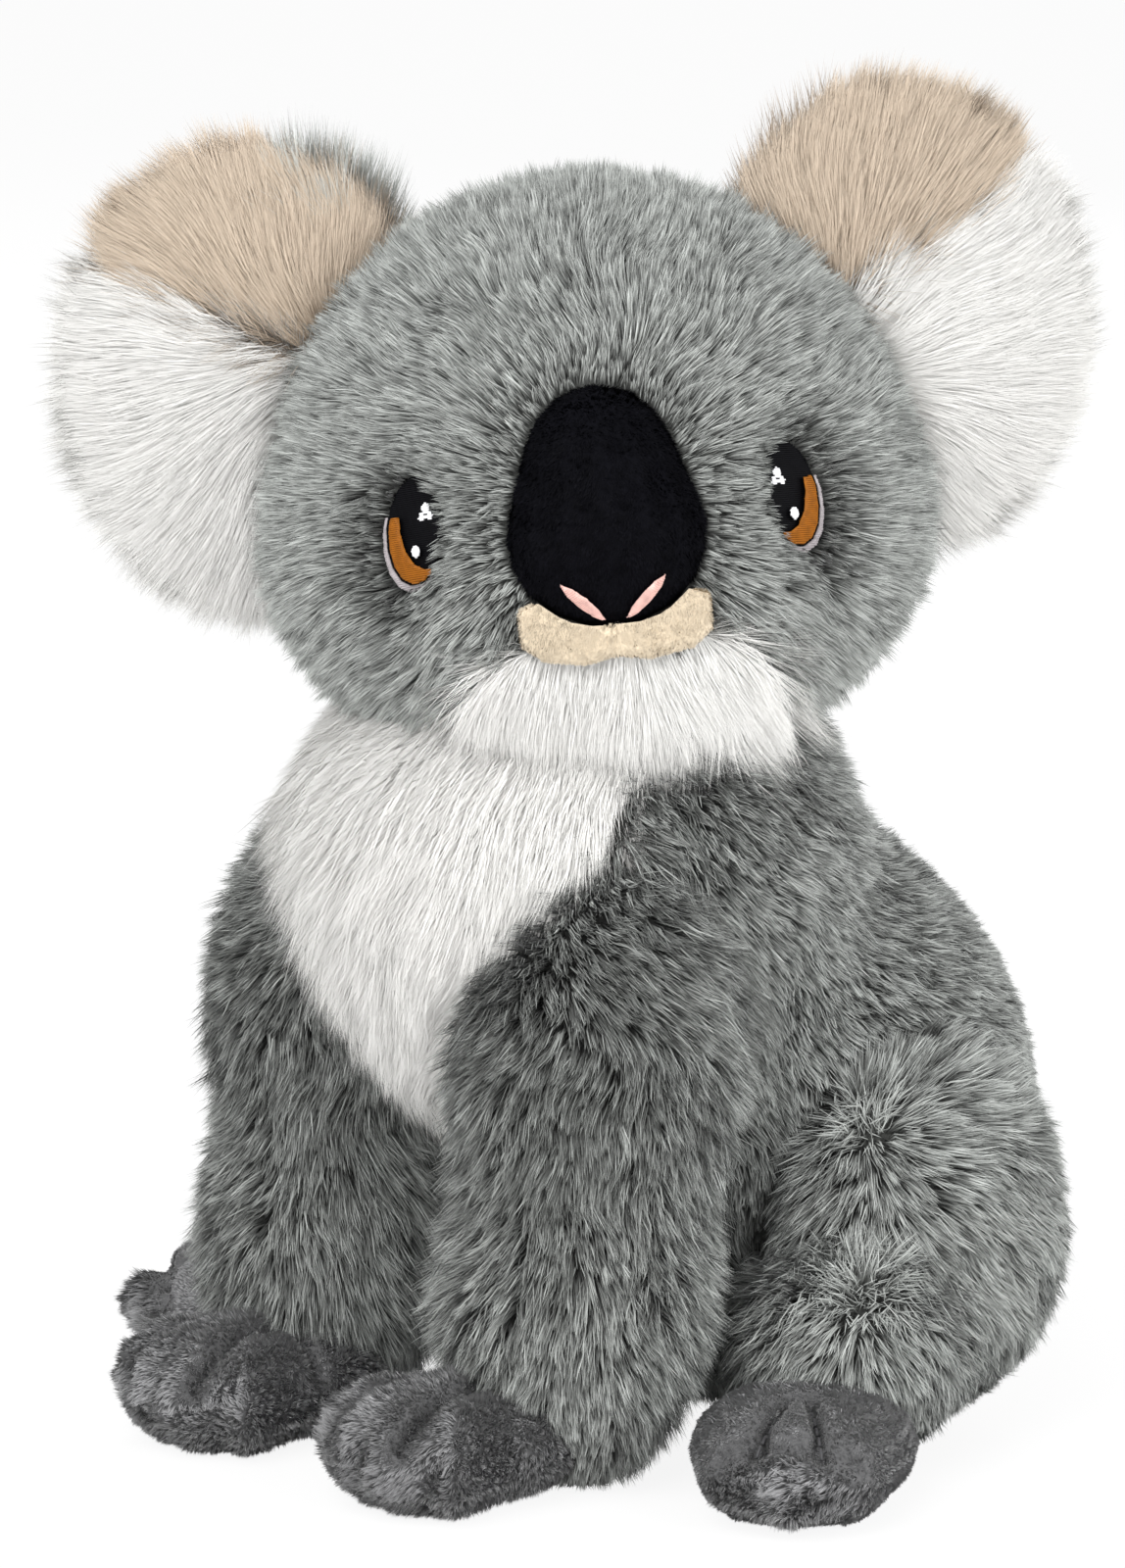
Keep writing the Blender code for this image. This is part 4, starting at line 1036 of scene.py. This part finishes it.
class KOALA_OT_paws(bpy.types.Operator):
    """Makes the paws and feet of short dark plush, with their folds and toe stitches"""

    bl_idname = "koala.paws"
    bl_label = "Paws and feet"

    def execute(self, context):
        _, plush, tints, _ = settings()
        cloth = cloth_look("slate_backing", scaled(tints.slate, 0.6))
        root, body, tip = (scaled(tints.slate, level) for level in (0.30, 0.85, 2.9))
        hair = fur_look("slate_pile", root, body, tip, (0.6, 0.45, 0.75, 0.0), 0.5, 0.45)
        dark = thread_look("toe_thread", (0.045, 0.045, 0.048), 0.7)
        seed = 60
        for side in SIDES:
            for kind, limb, shape_of in (("paw", "arm", paw_shape), ("foot", "leg", foot_shape)):
                seed += 1
                node = f"{kind}_skin_{side}"
                shape, lines, folds, tall = shape_of(side)
                backing(node, cloth, "slate_plush", PLUSH_CUTS, shape)
                heel = middle(f"{limb}_skin_{side}") * LEVEL + UP * 0.012
                coat = {"length": plush.paw, "width": 0.00030, "per_mm2": 15.5 * plush.density,
                        "clump_size": 16, "comb": lambda points, heel=heel: unit(points - heel),
                        "swirl": 0.008, "sway": 0.9, "lean": 42.0, "pull": 0.28, "vary": 0.60,
                        "folds": folds, "tall": tall, "tone": PAW_TONES_PAINTED_LIGHT.get(node, FOOT_TONE_PAINTED_LIGHT)}
                field = Field(node, PLUSH_CUTS, 0, shape)
                pile(f"{kind}_pile_{side}", field, coat, hair, seed)
                for part, line in zip(("inner", "outer"), lines):
                    stitch_line(f"toe_stitch_{part}_{side}", line, plush.thread, dark)
        return {"FINISHED"}


class KOALA_OT_nose(bpy.types.Operator):
    """Makes the black velvet nose and the cream lip band"""

    bl_idname = "koala.nose"
    bl_label = "Nose and lip"

    def execute(self, context):
        _, plush, tints, _ = settings()
        velvet = cloth_look("black_backing", tints.black, sheen=0.0, gloss=0.03)
        backing("nose_skin", velvet, "black_velvet", 2)
        hair = fur_look("black_pile", scaled(tints.black, 0.6), tints.black, scaled(tints.black, 1.8),
                        (0.7, 0.6, 0.9, 0.0), 0.6, 0.0, 0.03)
        down = {"comb": lambda points: everywhere(-UP, points), "clump_size": 12, "pull": 0.22}
        coat = dict(down, length=plush.nose, width=0.00024, per_mm2=14.0 * plush.density, swirl=0.005,
                    sway=0.9, lean=45.0)
        pile("nose_pile", Field("nose_skin", rounds=1), coat, hair, 71)
        felt = cloth_look("cream_backing", tints.cream)
        lip = folder([(lip_seam(), 0.0008, 0.0009)], "lip_band")
        backing("lip_band", felt, "lip_plush", 2, lip)
        cream = fur_look("cream_pile", scaled(tints.cream, 0.96), tints.cream, scaled(tints.cream, 1.06),
                         (0.97, 0.97, 0.99, 0.0), 0.7, 0.1)
        coat = dict(down, length=plush.lip, width=0.00026, per_mm2=24.0 * plush.density, swirl=0.004,
                    sway=0.7, lean=38.0, vary=0.08, soft=1.0)
        pile("lip_pile", Field("lip_band", rounds=0, shape=lip), coat, cream, 72)
        return {"FINISHED"}


def lip_seam():
    """The short seam at the middle of the lip, as a line down its front."""
    nose, lip = middle("nose_skin"), middle("lip_band")
    out = direction((lip - middle("head_skin")) * LEVEL)
    low, high = (np.array(corner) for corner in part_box("lip_band"))
    levels = np.linspace(low[2], low[2] + (high[2] - low[2]) * 0.55, 10)
    spots = [np.array((nose[0], nose[1], z)) + out * ABOVE for z in levels]
    return line_on("lip_band", spots, -out, 0.06)


# Embroidery

def axes_of(node, outward):
    """The middle of an embroidered patch, its outward way, its long way and its short way."""
    points = corners_of(node)
    centre = (points.max(axis=0) + points.min(axis=0)) / 2.0
    _, _, ways = np.linalg.svd(points - points.mean(axis=0), full_matrices=False)
    out = ways[2] if ways[2] @ outward > 0 else -ways[2]
    long_way = ways[0] if ways[0][2] > 0 else -ways[0]
    return centre, out, long_way, np.cross(long_way, out)


def thread(bm, run, side, out, radius):
    """One arched thread along a run of points, closed at both ends, where it dips into the cloth."""
    rings = []
    for k, point in enumerate(run):
        dip = radius * 0.9 if k in (0, len(run) - 1) else 0.0
        base = point - out * dip
        rings.append([bm.verts.new(base + side * radius * x + out * radius * z)
                      for x, z in ((-1.0, -0.5), (-0.55, 0.75), (0.55, 0.75), (1.0, -0.5))])
    for first, second in zip(rings, rings[1:]):
        for i in range(4):
            j = (i + 1) % 4
            bm.faces.new((first[i], first[j], second[j], second[i]))
    bm.faces.new(reversed(rings[0]))
    bm.faces.new(rings[-1])


def satin(node, tree, axes, spans, size, lift, look, seed, mask=None):
    """Satin stitches laid side by side over a patch of the head, or only where a mask says so."""
    rng = np.random.default_rng(seed)
    centre, out, along, across = axes
    bm = bmesh.new() if mask else merged_copy(node)
    rows = int(spans[0] * 2 / size)
    steps = int(spans[1] * 2 / STITCH_STEP)
    for i in range(rows + 1):
        shift = i * size - spans[0]
        start = rng.random()
        run = []
        for j in range(steps + 2):
            side = (j - start) * STITCH_STEP - spans[1]
            inside = mask is None or mask(shift, side)
            origin = centre + along * shift + across * side + out * REACH
            hit = tree.ray_cast(Vector(origin), Vector(-out), REACH * 2)[0] if inside else None
            if hit is not None:
                run.append(np.array(hit) + out * lift)
                continue
            if len(run) > 1:
                thread(bm, run, along, out, size * THREAD_SHARE)
            run = []
        if len(run) > 1:
            thread(bm, run, along, out, size * THREAD_SHARE)
    bmesh.ops.recalc_face_normals(bm, faces=bm.faces[:])
    made = link(f"{node}_thread", mesh_of(bm, f"{node}_thread"))
    made.data.set_sharp_from_angle(angle=THREAD_CORNER)
    dress(made, look, node, True)


def stitch_line(node, line, size, look):
    """A line of running stitches that lies in a fold."""
    bm = bmesh.new()
    sizes = np.linalg.norm(np.diff(line, axis=0), axis=1)
    walked = np.concatenate(((0.0,), np.cumsum(sizes)))
    count = int(walked[-1] / (STITCH_LONG + STITCH_SHORT))
    for i in range(count):
        start = i * (STITCH_LONG + STITCH_SHORT)
        spots = np.linspace(start, start + STITCH_LONG, 5)
        laid = [np.array([np.interp(t, walked, line[:, k]) for k in range(3)]) for t in spots]
        run = [point - UP * STITCH_DEPTH for point in laid]
        side = np.cross(direction(run[-1] - run[0]), UP)
        thread(bm, run, side, UP, size)
    bmesh.ops.recalc_face_normals(bm, faces=bm.faces[:])
    name = node.replace("stitch", "thread")
    dress(link(name, mesh_of(bm, name)), look, node, True)


def clover(shift, side):
    """True inside the three lobes of the eye's large glint."""
    lobes = ((0.00085, 0.0, 0.00095), (-0.00060, 0.00080, 0.00080), (-0.00060, -0.00080, 0.00080))
    return any(math.hypot(shift - x, side - z) < radius for x, z, radius in lobes)


class KOALA_OT_embroidery(bpy.types.Operator):
    """Sews the eyes and nostrils in satin stitch"""

    bl_idname = "koala.embroidery"
    bl_label = "Embroidery"

    def execute(self, context):
        _, plush, tints, _ = settings()
        looks = {
            "black": (thread_look("black_satin", (0.003, 0.003, 0.004), 0.5, 0.0, 0.07), "black_velvet"),
            "iris": (thread_look("amber_satin", tints.amber, 0.5, 0.0, 0.15), "amber_thread"),
            "rim": (thread_look("pale_satin", (0.33, 0.30, 0.31)), "rim_thread"),
            "glint_large": (thread_look("white_satin", (0.82, 0.82, 0.84)), "white_thread"),
            "glint_small": (thread_look("white_satin_small", (0.82, 0.82, 0.84)), "white_thread"),
        }
        pink = thread_look("pink_satin", tints.pink)
        size = plush.thread
        for side in SIDES:
            eye = f"eye_black_{side}"
            axes = axes_of(eye, middle(eye) - middle("head_skin"))
            outer = direction(middle(eye) - middle("nose_skin"))
            for i, (part, (look, slot)) in enumerate(looks.items()):
                node = f"eye_{part}_{side}"
                place, spans = axes, (0.0105, 0.0070)
                if "glint" in part:
                    place, spans = (middle(node) + outer * 0.0005, *axes[1:]), (0.0030, 0.0026)
                if part == "glint_large":
                    satin(node, tree_of(eye), place, spans, size * 0.8, 0.0002, look, 80 + i, clover)
                else:
                    satin(node, tree_of(node), place, spans, size, 0.0, look, 80 + i)
            node = f"nostril_stitch_{side}"
            axes = axes_of(node, middle(node) - middle("nose_stuffing"))
            satin(node, tree_of(node), axes, (0.0060, 0.0020), size, 0.0001, pink, 90)
        return {"FINISHED"}


# Stage

def aim(thing, place, target):
    thing.location = place
    thing.rotation_euler = (Vector(target) - Vector(place)).to_track_quat("-Z", "Y").to_euler()


def lamp(name, place, target, size, power):
    data = bpy.data.lights.new(name, "AREA")
    data.shape = "DISK"
    data.size = size
    data.energy = power
    made = link(name, data)
    aim(made, place, target)


def seen_rays(tree):
    """A socket that is 1 for rays straight from the camera, mirrored by gloss or let through."""
    ray = add(tree, "ShaderNodeLightPath")
    total = ray.outputs["Is Camera Ray"]
    for kind in ("Is Glossy Ray", "Is Transmission Ray"):
        most = add(tree, "ShaderNodeMath", operation="MAXIMUM")
        tree.links.new(total, most.inputs[0])
        tree.links.new(ray.outputs[kind], most.inputs[1])
        total = most.outputs[0]
    return total


def split_rays(tree, factor, plain, seen, output):
    """Sends one shader to a share of the rays and another to the rest."""
    mix = add(tree, "ShaderNodeMixShader")
    for socket, source in zip(mix.inputs, (factor, plain.outputs[0], seen.outputs[0])):
        tree.links.new(source, socket)
    tree.links.new(mix.outputs[0], tree.nodes[output].inputs["Surface"])


class KOALA_OT_stage(bpy.types.Operator):
    """Adds the pale floor, the soft lamps and the camera"""

    bl_idname = "koala.stage"
    bl_label = "Stage"

    def execute(self, context):
        _, _, _, stage = settings()
        scene = context.scene
        bm = bmesh.new()
        bmesh.ops.create_grid(bm, x_segments=1, y_segments=1, size=12.0)
        floor = link("floor", mesh_of(bm, "floor", smooth=False))
        made, tree, shader = nodes_of("pale_floor", 1.0, 0.0)
        shader.inputs["Base Color"].default_value = (*stage.floor, 1.0)
        white = add(tree, "ShaderNodeEmission", (("Strength", 1.0),))
        part = add(tree, "ShaderNodeMath", ((1, 0.90),), operation="MULTIPLY")
        tree.links.new(seen_rays(tree), part.inputs[0])
        split_rays(tree, part.outputs[0], shader, white, "Material Output")
        floor.data.materials.append(made)
        world = bpy.data.worlds.new("studio")
        world.use_nodes = True
        scene.world = world
        sky = world.node_tree
        grey = sky.nodes["Background"]
        grey.inputs["Color"].default_value = (1.0, 1.0, 1.0, 1.0)
        grey.inputs["Strength"].default_value = stage.sky
        seen = add(sky, "ShaderNodeBackground", (("Strength", 1.0),))
        split_rays(sky, seen_rays(sky), grey, seen, "World Output")
        target = Vector(stage.target)
        lamp("key_lamp", (0.35, -1.10, 1.05), target, 1.4, stage.key)
        lamp("fill_lamp", (1.30, 0.10, 0.55), target, 0.9, stage.fill)
        lamp("back_lamp", (-0.55, 1.15, 0.75), target, 1.2, stage.back)
        camera_data = bpy.data.cameras.new("camera")
        camera_data.sensor_fit = "VERTICAL"
        camera_data.sensor_height = 36.0
        camera_data.lens = stage.lens
        camera_data.clip_start = 0.05
        camera_data.clip_end = 60.0
        camera = link("camera", camera_data)
        a, e = stage.azimuth, stage.elevation
        way = Vector((math.sin(a) * math.cos(e), -math.cos(a) * math.cos(e), math.sin(e)))
        aim(camera, target + way * stage.distance, target)
        scene.camera = camera
        scene.view_settings.view_transform = "Standard"
        return {"FINISHED"}


class KOALA_PT_panel(bpy.types.Panel):
    """Lists the koala's sizes, colours and steps"""

    bl_label = "Plush koala"
    bl_idname = "KOALA_PT_panel"
    bl_space_type = "VIEW_3D"
    bl_region_type = "UI"
    bl_category = "Koala"

    def draw(self, context):
        for group in settings():
            box = self.layout.box()
            for key in group.__annotations__:
                box.prop(group, key)
        for operator in OPERATORS:
            self.layout.operator(operator.bl_idname)


OPERATORS = (KOALA_OT_stuffing, KOALA_OT_skins, KOALA_OT_head_fur, KOALA_OT_body_fur, KOALA_OT_ear_fur,
             KOALA_OT_limb_fur, KOALA_OT_paws, KOALA_OT_nose, KOALA_OT_embroidery, KOALA_OT_stage)
GROUPS = {"koala_fur": KoalaFur, "koala_plush": KoalaPlush, "koala_colours": KoalaColours,
          "koala_stage": KoalaStage}


def register():
    for group in GROUPS.values():
        bpy.utils.register_class(group)
    for name, group in GROUPS.items():
        setattr(bpy.types.Scene, name, bpy.props.PointerProperty(type=group))
    for item in (*OPERATORS, KOALA_PT_panel):
        bpy.utils.register_class(item)


def unregister():
    for item in reversed((*OPERATORS, KOALA_PT_panel)):
        bpy.utils.unregister_class(item)
    for name, group in GROUPS.items():
        delattr(bpy.types.Scene, name)
        bpy.utils.unregister_class(group)


def main():
    register()
    for operator in OPERATORS:
        group, name = operator.bl_idname.split(".")
        getattr(getattr(bpy.ops, group), name)()


if __name__ == "__main__":
    main()
